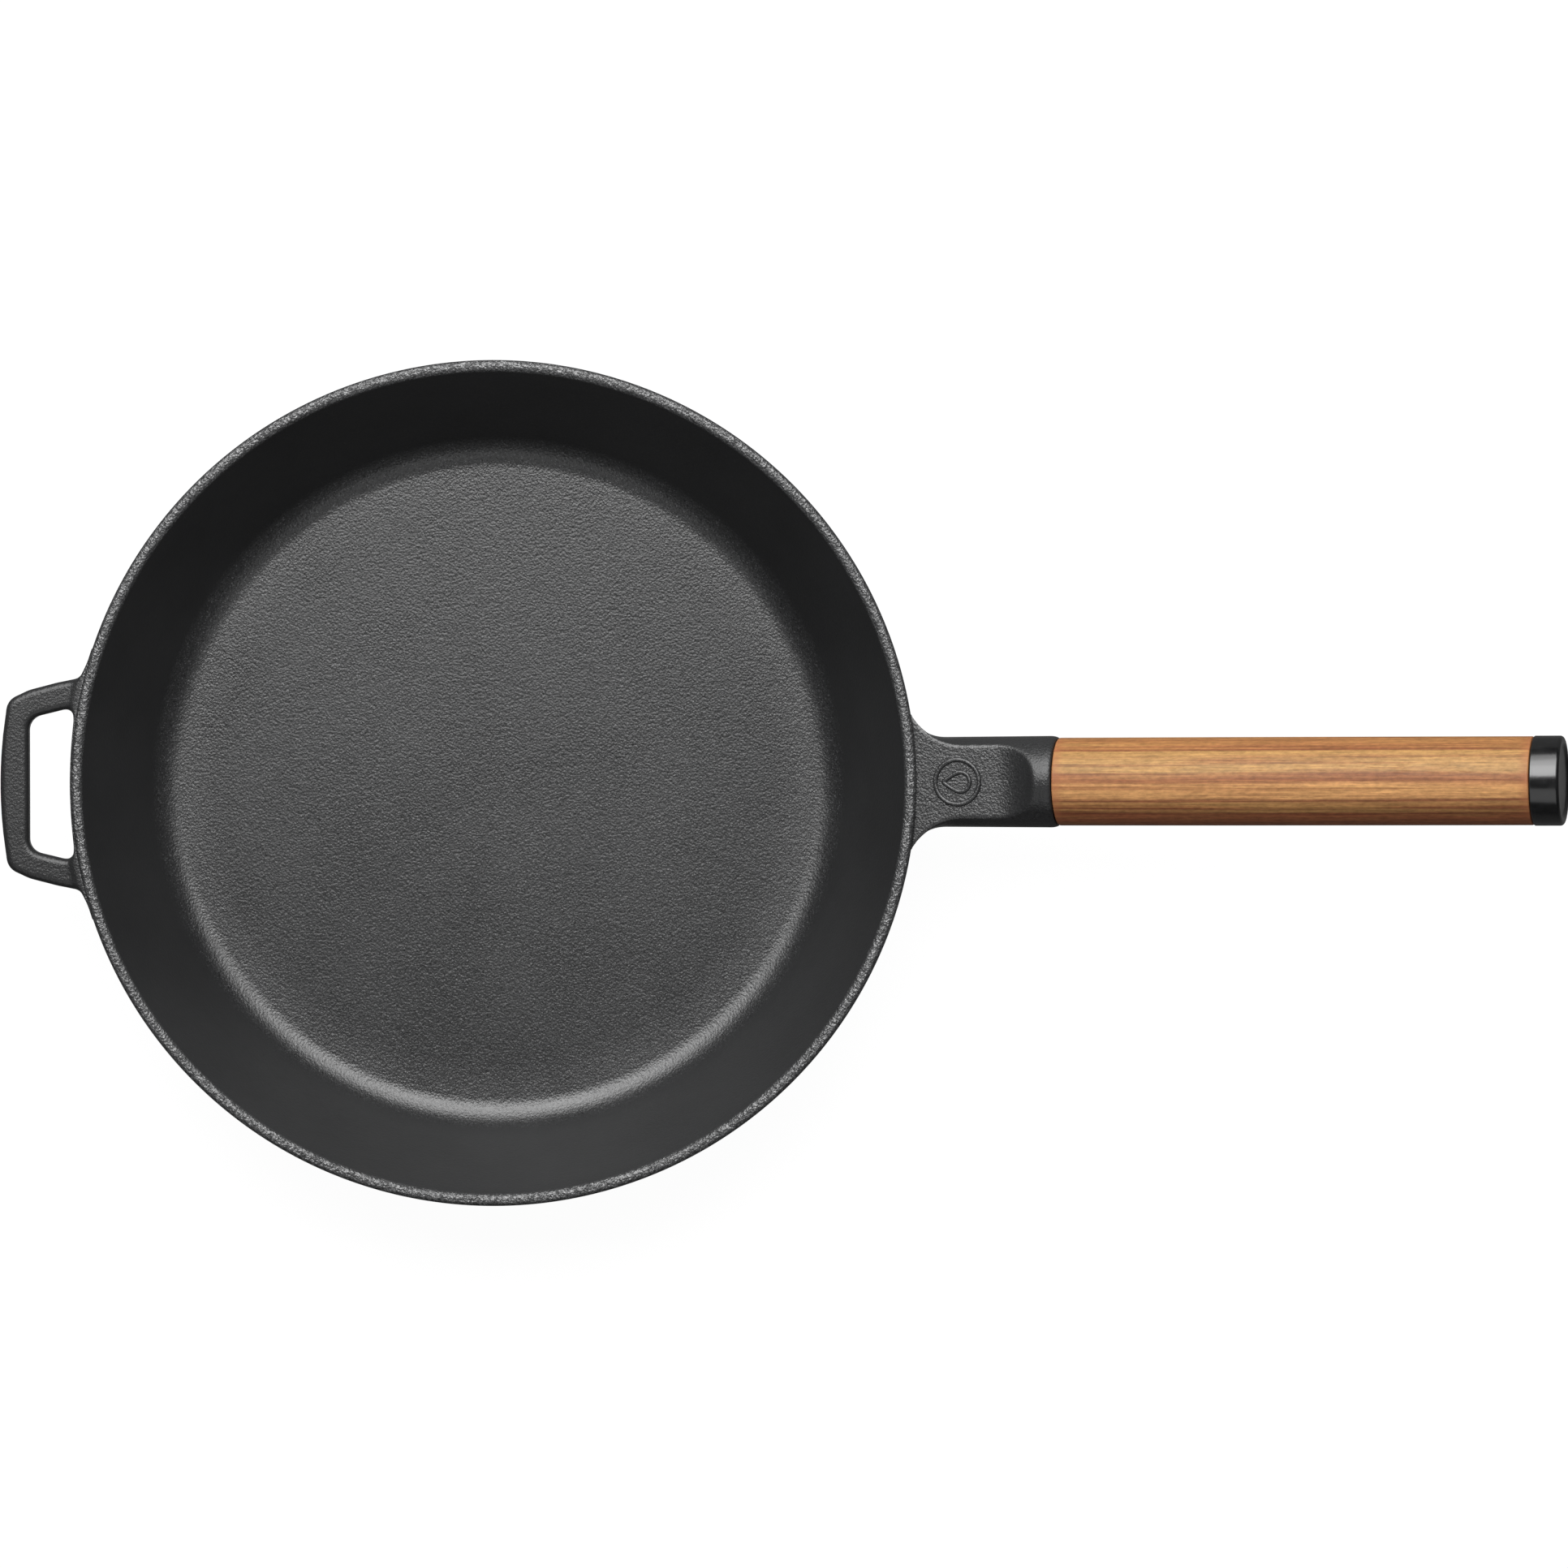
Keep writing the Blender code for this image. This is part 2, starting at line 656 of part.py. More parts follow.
def make_tie_rod():
    """The rod: plain, grooved and relieved, joined to its threaded end."""
    taper_from, taper_to = RELIEF_TAPER
    plain_end = THREAD_START - ROD_OVERLAP
    path = [
        (0.0, ROD_END),
        (ROD_R - ROD_CHAMFER, ROD_END),
        (ROD_R, ROD_END - ROD_CHAMFER),
        (ROD_R, GROOVE_TO),
        (GROOVE_R, GROOVE_TO),
        (GROOVE_R, GROOVE_FROM),
        (ROD_R, GROOVE_FROM),
        (ROD_R, taper_from),
        (RELIEF_R, taper_to),
        (RELIEF_R, plain_end),
        (0.0, plain_end),
    ]
    rod = turned("tie_rod", path, THREAD_STEPS, parts, rod_carrier)
    start_r, start_taper = THREAD_FORM_START
    tip_r, tip_taper = THREAD_FORM_TIP
    form_path = [
        (0.0, THREAD_START),
        (start_r, THREAD_START),
        (THREAD_FORM_R, THREAD_START - start_taper),
        (THREAD_FORM_R, ROD_TIP + tip_taper),
        (tip_r, ROD_TIP),
        (0.0, ROD_TIP),
    ]
    thread = threaded("rod_thread", 0.0, ROD_TIP, THREAD_START, rod_carrier)
    form = turned("rod_thread_form", form_path, THREAD_STEPS, cutters, rod_carrier)
    combine(thread, ("INTERSECT", form))
    return combine(rod, ("UNION", thread))


def make_end_cap():
    """The cap: a cup over the spigot, a boss around the rod's end, a recessed face."""
    path = rounded(
        [
            (0.0, CAP_TO - CAP_RECESS, 0),
            (CAP_RECESS_R, CAP_TO - CAP_RECESS, CAP_RECESS_ROUND),
            (CAP_RECESS_R + CAP_RECESS_FLARE, CAP_TO, 0),
            (CAP_R, CAP_TO, CAP_OUTER_ROUND),
            (CAP_R, CAP_FROM, CAP_MOUTH_ROUND),
            (CAP_CUP_R, CAP_FROM, 0),
            (CAP_CUP_R, CAP_CUP_END, CAP_CUP_ROUND),
            (CAP_BOSS_R, CAP_CUP_END, 0),
            (CAP_BOSS_R, CAP_BOSS_END, 0),
            (ROD_HOLE_R, CAP_BOSS_END, 0),
            (ROD_HOLE_R, ROD_END + PLAY, 0),
            (0.0, ROD_END + PLAY, 0),
        ]
    )
    return turned("end_cap", path, TURNED_STEPS, parts, rod_carrier)


# ---------------------------------------------------------------- small hardware


def make_washer(name, low, thickness, radius, parent, rise=0.0):
    """A washer on the rod, its inner edge raised by `rise`."""
    path = [
        (ROD_HOLE_R, low + rise + thickness),
        (radius, low + thickness),
        (radius, low),
        (ROD_HOLE_R, low + rise),
    ]
    return turned(name, path, WASHER_STEPS, parts, parent)


def make_lock_nut():
    """A hexagon nut, chamfered on both faces, with a plain hole."""
    work = bmesh.new()
    bmesh.ops.create_cone(
        work,
        cap_ends=True,
        segments=6,
        radius1=NUT_CORNER_R * 0.001,
        radius2=NUT_CORNER_R * 0.001,
        depth=NUT_T * 0.001,
    )
    nut = add_object("lock_nut", mesh_from(work, "lock_nut"), parts, rod_carrier)
    nut.location = mm(0.0, 0.0, NUT_AT + NUT_T / 2)
    inner, outer = NUT_CORNER_R - NUT_FORM_IN, NUT_CORNER_R + NUT_FORM_OUT
    form_path = [
        (0.0, NUT_END + NUT_FORM_OVER),
        (inner, NUT_END + NUT_FORM_OVER),
        (outer, NUT_END - NUT_FORM_BAND),
        (outer, NUT_AT + NUT_FORM_BAND),
        (inner, NUT_AT - NUT_FORM_OVER),
        (0.0, NUT_AT - NUT_FORM_OVER),
    ]
    hole_path = rod_path(ROD_HOLE_R, NUT_AT + NUT_HOLE_ABOVE, NUT_AT - NUT_HOLE_BELOW)
    form = turned("nut_form", form_path, NUT_FORM_STEPS, cutters, rod_carrier)
    hole = turned("nut_hole", hole_path, NUT_HOLE_STEPS, cutters, rod_carrier)
    return combine(nut, ("INTERSECT", form), ("DIFFERENCE", hole))


def make_retaining_ring():
    """A flat snap ring in the rod's groove, open towards its own +X."""

    def arc(radius, steps):
        sweep = 2 * math.pi - 2 * RING_HALF_GAP
        turns = [RING_HALF_GAP + sweep * k / steps for k in range(steps + 1)]
        return [(radius * math.cos(a), radius * math.sin(a)) for a in turns]

    outline = arc(RING_R, RING_OUTER_STEPS) + arc(RING_HOLE_R, RING_INNER_STEPS)[::-1]
    ring = plate("retaining_ring", [outline], RING_T, parts, rod_carrier)
    ring.location = mm(0.0, 0.0, RING_AT + RING_T / 2)
    return ring


# ---------------------------------------------------------------- looks


def material(name, colour, roughness, metallic):
    """A Principled BSDF."""
    made = bpy.data.materials.new(name)
    made.use_nodes = True
    shader = made.node_tree.nodes["Principled BSDF"]
    shader.inputs["Base Color"].default_value = (*colour, 1.0)
    shader.inputs["Roughness"].default_value = roughness
    shader.inputs["Metallic"].default_value = metallic
    made.diffuse_color = (*colour, 1.0)
    return made


def finish(obj, look):
    """Material, smooth shading and sharp edges."""
    obj.data.materials.clear()
    obj.data.materials.append(look)
    obj.data.shade_smooth()
    obj.data.set_sharp_from_angle(angle=SHARP_ANGLE)


cast_iron = material("cast_iron", colour=(0.035, 0.036, 0.038), roughness=0.55, metallic=0.6)
wood = material("stained_wood", colour=(0.46, 0.20, 0.075), roughness=0.5, metallic=0.0)
black_iron = material("black_iron", colour=(0.02, 0.02, 0.022), roughness=0.35, metallic=0.6)
zinc_steel = material("zinc_steel", colour=(0.55, 0.56, 0.58), roughness=0.3, metallic=1.0)
spring_steel = material("spring_steel", colour=(0.16, 0.16, 0.18), roughness=0.35, metallic=1.0)

# ---------------------------------------------------------------- build

finish(make_pan_casting(), cast_iron)
finish(make_handle_grip(), wood)
finish(make_tie_rod(), zinc_steel)
finish(make_end_cap(), black_iron)
finish(make_washer("plain_washer", WASHER_AT, WASHER_T, WASHER_R, grip_carrier), zinc_steel)
finish(
    make_washer("spring_washer", SPRING_AT, SPRING_T, SPRING_R, rod_carrier, rise=SPRING_RISE),
    spring_steel,
)
finish(make_lock_nut(), zinc_steel)
finish(make_retaining_ring(), spring_steel)
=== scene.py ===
"""Looks of a cast iron skillet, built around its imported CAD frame.

An iron bowl with a lifting loop on one side and, on the other, a neck that holds a wooden grip.
A threaded rod runs through the grip, with an iron cap on its far end.

Frame: origin at the centre of the flat underside, +Z up, +X along the handle, loop at -X.
Meshes are worked out in millimetres, and mesh_object turns them into metres.
Materials, stage, lights and camera are in metres.
"""

import math

import bmesh
import bpy
import numpy as np
from mathutils import Matrix, Vector


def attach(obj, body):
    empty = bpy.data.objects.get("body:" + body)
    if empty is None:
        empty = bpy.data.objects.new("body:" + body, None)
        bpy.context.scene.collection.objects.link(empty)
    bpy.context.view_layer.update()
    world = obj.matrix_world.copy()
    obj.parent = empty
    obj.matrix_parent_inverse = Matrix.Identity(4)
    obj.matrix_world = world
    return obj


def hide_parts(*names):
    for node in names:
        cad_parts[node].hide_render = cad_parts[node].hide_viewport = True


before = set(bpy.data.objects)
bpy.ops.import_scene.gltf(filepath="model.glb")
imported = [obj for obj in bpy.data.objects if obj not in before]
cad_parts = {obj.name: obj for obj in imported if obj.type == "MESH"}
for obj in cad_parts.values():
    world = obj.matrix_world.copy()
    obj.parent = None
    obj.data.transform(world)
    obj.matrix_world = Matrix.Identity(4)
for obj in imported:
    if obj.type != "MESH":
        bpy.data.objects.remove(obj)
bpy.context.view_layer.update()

MM = 0.001

# ---------------------------------------------------------------- dimensions, in mm

# bowl: radii and heights of its corners, and the rounds on them
RIM_R, RIM_INNER_R, RIM_Z = 152.0, 148.2, 55.0
FLOOR_T, BASE_CORNER_R, FLOOR_CORNER_R = 4.5, 125.3, 122.9
BASE_FILLET, FLOOR_FILLET = 16.5, 12.5
RIM_OUTER_ROUND, RIM_INNER_ROUND = 1.7, 2.4
BOWL_STEPS = 320
RUN, CENTRE_RUN = 7.0, 14.0  # longest straight piece of the profile, and the one at the centre

# the outer wall is a cone up to the corner the rim would have without its round
RIM_LEAN = math.atan((RIM_R - BASE_CORNER_R) / RIM_Z)
SHARP_RIM = RIM_R + RIM_OUTER_ROUND * (math.tan(RIM_LEAN) + 1 / math.cos(RIM_LEAN) - 1)
WALL_SLOPE = (SHARP_RIM - BASE_CORNER_R) / RIM_Z
WALL_COS = math.cos(math.atan(WALL_SLOPE))

# handle: its axis leaves the middle of the neck's mouth, tilted up
TILT = math.radians(13.0)
MOUTH = np.array((203.0, 0.0, RIM_Z))
AXIS = np.array((math.cos(TILT), 0.0, math.sin(TILT)))
UP = np.array((-math.sin(TILT), 0.0, math.cos(TILT)))
SIDE = np.cross(UP, AXIS)

# neck
NECK_R, COLLAR_R, COLLAR_L = 16.2, 16.45, 40.0
MOUTH_ROUND_L, MOUTH_ROUND_D, MOUTH_EDGE = 2.9, 0.9, 0.2
ROOT_FILLET = 13.6
NECK_BOTTOM_Z = 14.0
# flat on top of the neck: height over the axis, the curve up from it, that curve's middle in plan
FACET_H, SCOOP_R, SCOOP_AT, SCOOP_PLAN_R, SCOOP_EDGE = 9.68, 19.0, -20.9, 110.0, 0.7

# loop: middle height, thickness, edge round, fillet to the wall, top
LOOP_Z, LOOP_T, LOOP_EDGE, LOOP_FILLET = 48.6, 8.6, 2.3, 4.2
LOOP_TOP_Z, LOOP_TOP_EDGE = 53.9, 0.6

# neck and loop are shells joined to the bowl: how far their skin on the wall lies under the
# bowl's, how deep they go into it, and how far past the part they are cut off
NECK_SINK, NECK_DEPTH, NECK_MARGIN = 0.08, 1.9, 1.5
LOOP_SINK, LOOP_DEPTH, LOOP_MARGIN = 0.05, 1.8, 5.2
NET_STEP = 0.6

# thread on the rod and in the neck; a tooth is (radius, height)
PITCH, THREAD_START = 1.5, -45.0
ROOT_R, CREST_R = 4.14, 4.95
TOOTH = ((ROOT_R, 0.0), (ROOT_R, 0.37), (CREST_R, 0.84), (CREST_R, 1.03))
TAP_PLAY = 0.15
ROD_STEPS = 40

SOCKET_R, SOCKET_DEPTH, SOCKET_WIDTH = 10.5, 9.5, 16.4
GRIP_STEPS = 128
TENON_HALF_WIDTH = 7.9

# mark on the neck's flat: place along the axis, ring and drop radii, ridge widths and height
MARK_AT, MARK_STEPS = -35.2, 96
RING_R, RING_WIDTH = 8.0, 1.75
DROP_R, DROP_WIDTH, DROP_SHIFT = 3.5, 1.6, 1.1
DROP_PULL, DROP_PINCH, DROP_POWER = 2.4, 0.45, 2.2
RIDGE_H = 0.85

# from the handle's own frame (x along UP, y along SIDE, z along AXIS) to the scene, in metres
HANDLE = Matrix(
    [(UP[i], SIDE[i], AXIS[i], MOUTH[i] * MM) for i in range(3)] + [(0, 0, 0, 1)]
)

# ---------------------------------------------------------------- mesh helpers


def rounded(corners, closed=False, step=6.0):
    """A path through corners (x, y, radius) with arcs for the corners that have a radius."""
    path, count = [], len(corners)
    for i, (x, y, radius) in enumerate(corners):
        here = Vector((x, y))
        if radius <= 0 or (not closed and i in (0, count - 1)):
            path.append((x, y))
            continue
        back = (Vector(corners[i - 1][:2]) - here).normalized()
        ahead = (Vector(corners[(i + 1) % count][:2]) - here).normalized()
        inside = math.acos(max(-1.0, min(1.0, back.dot(ahead))))
        reach = radius / math.tan(inside / 2)
        middle = here + (back + ahead).normalized() * (radius / math.sin(inside / 2))
        first, last = here + back * reach - middle, here + ahead * reach - middle
        start = math.atan2(first.y, first.x)
        sweep = math.atan2(
            first.x * last.y - first.y * last.x, first.x * last.x + first.y * last.y
        )
        steps = max(4, math.ceil(abs(math.degrees(sweep)) / step))
        for k in range(steps + 1):
            angle = start + sweep * k / steps
            path.append(
                (middle.x + radius * math.cos(angle), middle.y + radius * math.sin(angle))
            )
    return path


def linked(name, data):
    obj = bpy.data.objects.new(name, data)
    bpy.context.scene.collection.objects.link(obj)
    return obj


def outward(obj, weld):
    """Welds close vertices and turns all normals outward."""
    work = bmesh.new()
    work.from_mesh(obj.data)
    bmesh.ops.remove_doubles(work, verts=work.verts, dist=weld)
    bmesh.ops.dissolve_degenerate(work, edges=work.edges, dist=weld)
    bmesh.ops.recalc_face_normals(work, faces=work.faces)
    work.to_mesh(obj.data)
    work.free()
    obj.data.update()


def mesh_object(name, points, faces, on_handle=False, weld=1e-7):
    """An object from points in mm, in the scene's frame or in the handle's own."""
    mesh = bpy.data.meshes.new(name)
    mesh.from_pydata((np.array(points) * MM).tolist(), [], faces)
    obj = linked(name, mesh)
    outward(obj, weld)
    if on_handle:
        obj.matrix_world = HANDLE
    return obj


def lathe(name, path, steps, on_handle=True, spin=0.0):
    """A turned solid from a profile (radius, height), closed on the axis or on itself."""
    verts, rings = [], []
    for radius, z in path:
        if radius < 1e-6:
            rings.append([len(verts)])
            verts.append((0.0, 0.0, z))
            continue
        rings.append(list(range(len(verts), len(verts) + steps)))
        for k in range(steps):
            angle = 2 * math.pi * k / steps + spin
            verts.append((radius * math.cos(angle), radius * math.sin(angle), z))
    pairs = list(zip(rings, rings[1:]))
    if path[0][0] > 1e-6:
        pairs.append((rings[-1], rings[0]))
    faces = []
    for one, two in pairs:
        for k in range(steps):
            after = (k + 1) % steps
            face = [
                one[k % len(one)], one[after % len(one)], two[after % len(two)], two[k % len(two)]
            ]
            face = list(dict.fromkeys(face))
            if len(face) > 2:
                faces.append(face)
    return mesh_object(name, verts, faces, on_handle)


def handle_box(name, size, centre=(0.0, 0.0, 0.0)):
    """A box in the handle's own frame."""
    ends = (-0.5, 0.5)
    signs = np.array([(a, b, c) for a in ends for b in ends for c in ends])
    faces = [(0, 1, 3, 2), (4, 6, 7, 5), (0, 4, 5, 1), (2, 3, 7, 6), (0, 2, 6, 4), (1, 5, 7, 3)]
    return mesh_object(name, centre + signs * size, faces, True)


def cut(obj, *steps):
    """EXACT Booleans in order, each settled before the next; the other objects are used up."""
    for operation, other in steps:
        modifier = obj.modifiers.new("cut", "BOOLEAN")
        modifier.operation = operation
        modifier.solver = "EXACT"
        modifier.object = other
        bpy.context.view_layer.update()
        graph = bpy.context.evaluated_depsgraph_get()
        mesh = bpy.data.meshes.new_from_object(obj.evaluated_get(graph), depsgraph=graph)
        obj.modifiers.clear()
        obj.data = mesh
        bpy.data.objects.remove(other, do_unlink=True)
    outward(obj, 2e-6)


def close_with_cones(obj, length=0.002):
    """Closes both open ends of a bar along z with cones of this length, in metres."""
    work = bmesh.new()
    work.from_mesh(obj.data)
    rim = [e for e in work.edges if e.is_boundary]
    middle = sum(v.co.z for v in work.verts) / len(work.verts)
    for sign in (-1, 1):
        ring = [e for e in rim if (sum(v.co.z for v in e.verts) / 2 - middle) * sign > 0]
        reach = max(v.co.z * sign for e in ring for v in e.verts)
        tip = work.verts.new((0.0, 0.0, sign * (reach + length)))
        for edge in ring:
            work.faces.new((edge.verts[0], edge.verts[1], tip))
    bmesh.ops.recalc_face_normals(work, faces=work.faces)
    work.to_mesh(obj.data)
    work.free()


def threaded(name, extra, low, high):
    """A right-hand threaded bar on the handle's axis, its radii larger by extra."""
    first = math.floor((low - THREAD_START) / PITCH) - 1
    end = math.ceil((high - THREAD_START) / PITCH)
    path = [
        (radius + extra, THREAD_START + k * PITCH + z)
        for k in range(first, end)
        for radius, z in TOOTH
    ]
    path.append((ROOT_R + extra, THREAD_START + end * PITCH))
    count, verts, faces = len(path), [], []
    for j in range(ROD_STEPS + 1):
        angle = 2 * math.pi * j / ROD_STEPS
        for radius, z in path:
            rise = PITCH * j / ROD_STEPS
            verts.append((radius * math.cos(angle), radius * math.sin(angle), z + rise))
    for j in range(ROD_STEPS):
        for i in range(count - 1):
            here, after = j * count + i, (j + 1) * count + i
            faces.append((here, here + 1, after + 1, after))
    obj = mesh_object(name, verts, faces, True, weld=1e-6)
    close_with_cones(obj)
    return obj


# ---------------------------------------------------------------- fields: below 0 inside, in mm


def both(one, two, radius):
    """Where both fields are inside, the edge rounded with this radius."""
    return np.minimum(np.maximum(one, two), -radius) + np.hypot(
        np.maximum(one + radius, 0), np.maximum(two + radius, 0)
    )


def either(one, two, radius):
    """Where either field is inside, the inner corner filleted with this radius."""
    return -both(-one, -two, radius)


def wall(points):
    """Distance outside the bowl's outer cone."""
    cone = BASE_CORNER_R + WALL_SLOPE * points[:, 2]
    return (np.hypot(points[:, 0], points[:, 1]) - cone) * WALL_COS


def neck_shell(points):
    offset = points - MOUTH
    along, across, above = offset @ AXIS, offset[:, 1], offset @ UP
    radius = NECK_R + (COLLAR_R - NECK_R) * np.clip((along + COLLAR_L) / COLLAR_L, 0, 1)
    lip = np.clip((along + MOUTH_ROUND_L) / MOUTH_ROUND_L, 0, 0.985)
    radius = radius - MOUTH_ROUND_D * (1 - np.sqrt(1 - lip**2))
    from_axis = np.hypot(across, above)
    bar = both(from_axis - radius, along, MOUTH_EDGE)
    spread = either(wall(points) + NECK_SINK, bar, ROOT_FILLET)
    in_plan = np.hypot(along - (SCOOP_AT - SCOOP_PLAN_R), across)
    scoop = both(in_plan - (SCOOP_PLAN_R + SCOOP_R), FACET_H - above, SCOOP_R)
    solid = both(spread, -scoop, SCOOP_EDGE)
    solid = np.maximum(solid, -(wall(points) + NECK_DEPTH))
    solid = np.maximum(solid, from_axis - NECK_R - ROOT_FILLET - NECK_MARGIN)
    return np.maximum(solid, NECK_BOTTOM_Z - points[:, 2])


def mirrored(half):
    return half + [(x, -y, radius) for x, y, radius in reversed(half)]


# the loop's outline and hole in plan: corners (x, y, radius) on the +Y half, then mirrored
LOOP_OUTER = rounded(
    mirrored(
        [
            (-130.0, 30.0, 0), (-138.0, 47.0, 0), (-148.6, 38.2, 4.5),
            (-157.0, 36.5, 22.0), (-167.0, 33.9, 14.0), (-174.75, 30.25, 6.0),
        ]
        # the far edge is a shallow parabola
        + [(-177.4 + 0.0031 * y * y, y, 0) for y in (24.0, 18.0, 12.0, 6.0, 2.0)]
    ),
    True,
    8.0,
)
LOOP_HOLE = rounded(mirrored([(-149.0, 28.2, 5.0), (-167.1, 23.75, 5.4)]), True, 8.0)


def outline_distance(points, outline):
    """Signed distance in plan to a closed outline, below 0 inside."""
    starts = np.array(outline)
    best = np.full(len(points), 1e9)
    inside = np.zeros(len(points), bool)
    for (x, y), (end_x, end_y) in zip(starts, np.roll(starts, -1, axis=0)):
        edge_x, edge_y = end_x - x, end_y - y
        from_x, from_y = points[:, 0] - x, points[:, 1] - y
        length_2 = max(edge_x * edge_x + edge_y * edge_y, 1e-12)
        share = np.clip((from_x * edge_x + from_y * edge_y) / length_2, 0, 1)
        best = np.minimum(best, np.hypot(from_x - edge_x * share, from_y - edge_y * share))
        crosses = (y > points[:, 1]) != (end_y > points[:, 1])
        reach = x + from_y * edge_x / (edge_y if edge_y else 1e-12)
        inside ^= crosses & (points[:, 0] < reach)
    return np.where(inside, -best, best)


def loop_shell(points):
    plan = np.maximum(outline_distance(points, LOOP_OUTER), -outline_distance(points, LOOP_HOLE))
    flat = np.abs(points[:, 2] - LOOP_Z) - LOOP_T / 2
    ring = both(plan, flat, LOOP_EDGE)
    solid = either(wall(points) + LOOP_SINK, ring, LOOP_FILLET)
    solid = np.maximum(solid, -(wall(points) + LOOP_DEPTH))
    solid = np.maximum(solid, np.maximum(plan, flat) - LOOP_MARGIN)
    return both(solid, points[:, 2] - LOOP_TOP_Z, LOOP_TOP_EDGE)


def gradient(field, points, reach=0.02):
    slope = np.empty_like(points)
    for i in range(3):
        shift = np.zeros(3)
        shift[i] = reach
        slope[:, i] = (field(points + shift) - field(points - shift)) / (2 * reach)
    return slope


def settled(field, points):
    """Points moved onto field = 0 in short steps."""
    for _ in range(6):
        value = field(points)
        slope = gradient(field, points)
        move = slope * (value / np.maximum((slope * slope).sum(1), 0.2))[:, None]
        length = np.linalg.norm(move, axis=1, keepdims=True)
        points = points - move * np.minimum(1.0, 0.4 * NET_STEP / np.maximum(length, 1e-9))
    return points


def grid_values(field, low, shape, place):
    """The field on a grid, made outside on the grid's border so that the surface closes."""
    axes = [low[i] + NET_STEP * np.arange(shape[i]) for i in range(3)]
    second, third = np.meshgrid(axes[1], axes[2], indexing="ij")
    values = np.empty(shape)
    for i, first in enumerate(axes[0]):
        grid = np.stack([np.full(second.size, first), second.ravel(), third.ravel()], 1)
        values[i] = field(place(grid)).reshape(second.shape)
    values[[0, -1]] = values[:, [0, -1]] = values[:, :, [0, -1]] = 1.0
    return values


def net_object(name, field, low, high, place=lambda points: points):
    """A closed quad mesh of field = 0: one point for each grid cell that the surface crosses."""
    low, high = np.array(low, float), np.array(high, float)
    shape = np.ceil((high - low) / NET_STEP).astype(int) + 1
    values = grid_values(field, low, shape, place)
    cells = shape - 1
    total, count = np.zeros((*cells, 3)), np.zeros(cells)
    crossing = []
    for axis in range(3):
        front, back = [slice(None)] * 3, [slice(None)] * 3
        front[axis], back[axis] = slice(0, -1), slice(1, None)
        start, end = values[tuple(front)], values[tuple(back)]
        mask = (start < 0) != (end < 0)
        crossing.append((mask, start < 0))
        index = np.indices(start.shape).astype(float)
        index[axis] += np.where(mask, start / np.where(mask, start - end, 1.0), 0.0)
        left, right = [k for k in range(3) if k != axis]
        # every edge along this axis touches four cells
        for one, two in ((0, 0), (0, 1), (1, 0), (1, 1)):
            pick = [slice(None)] * 3
            pick[left] = slice(one, cells[left] + one)
            pick[right] = slice(two, cells[right] + two)
            picked = mask[tuple(pick)]
            count += picked
            for k in range(3):
                total[..., k] += picked * index[k][tuple(pick)]
    used = count > 0
    number = np.full(cells, -1)
    number[used] = np.arange(used.sum())
    points = low + NET_STEP * total[used] / count[used][:, None]
    faces = []
    for axis, (mask, inside) in enumerate(crossing):
        where = np.argwhere(mask)
        left, right = [(1, 2), (2, 0), (0, 1)][axis]
        where = where[
            (where[:, left] > 0) & (where[:, right] > 0)
            & (where[:, left] < cells[left]) & (where[:, right] < cells[right])
        ]
        corners = []
        for one, two in ((1, 1), (0, 1), (0, 0), (1, 0)):
            cell = where.copy()
            cell[:, left] -= one
            cell[:, right] -= two
            corners.append(number[tuple(cell.T)])
        quad = np.stack(corners, 1)
        flip = ~inside[tuple(where.T)]
        quad[flip] = quad[flip][:, ::-1]
        faces.append(quad)
    return mesh_object(name, settled(field, place(points)), np.concatenate(faces).tolist())


def handle_grid(points):
    """From (along the axis, across, above), measured from the mouth, to the frame."""
    across = points[:, 1:2] * np.array([[0.0, 1.0, 0.0]])
    return MOUTH + np.outer(points[:, 0], AXIS) + across + np.outer(points[:, 2], UP)


# ---------------------------------------------------------------- casting


def bowl_profile():
    """The bowl's (radius, height) path, from the underside's centre to the floor's centre."""
    outer = rounded(
        [
            (0.0, 0.0, 0),
            (BASE_CORNER_R, 0.0, BASE_FILLET),
            (SHARP_RIM, RIM_Z, RIM_OUTER_ROUND),
            (140.0, RIM_Z, 0),  # only gives the direction across the rim
        ],
        step=5.0,
    )[:-1]
    inner = rounded(
        [
            (SHARP_RIM, RIM_Z, 0),
            (RIM_INNER_R, RIM_Z, RIM_INNER_ROUND),
            (FLOOR_CORNER_R, FLOOR_T, FLOOR_FILLET),
            (0.0, FLOOR_T, 0),
        ],
        step=5.0,
    )[1:]
    path = outer + inner
    # long straight runs are divided, so that faces stay near square
    fine = [path[0]]
    for (r0, z0), (r1, z1) in zip(path, path[1:]):
        run = RUN if min(r0, r1) > 1 else CENTRE_RUN
        parts = max(1, math.ceil(math.hypot(r1 - r0, z1 - z0) / run))
        for k in range(1, parts + 1):
            fine.append((r0 + (r1 - r0) * k / parts, z0 + (z1 - z0) * k / parts))
    return fine


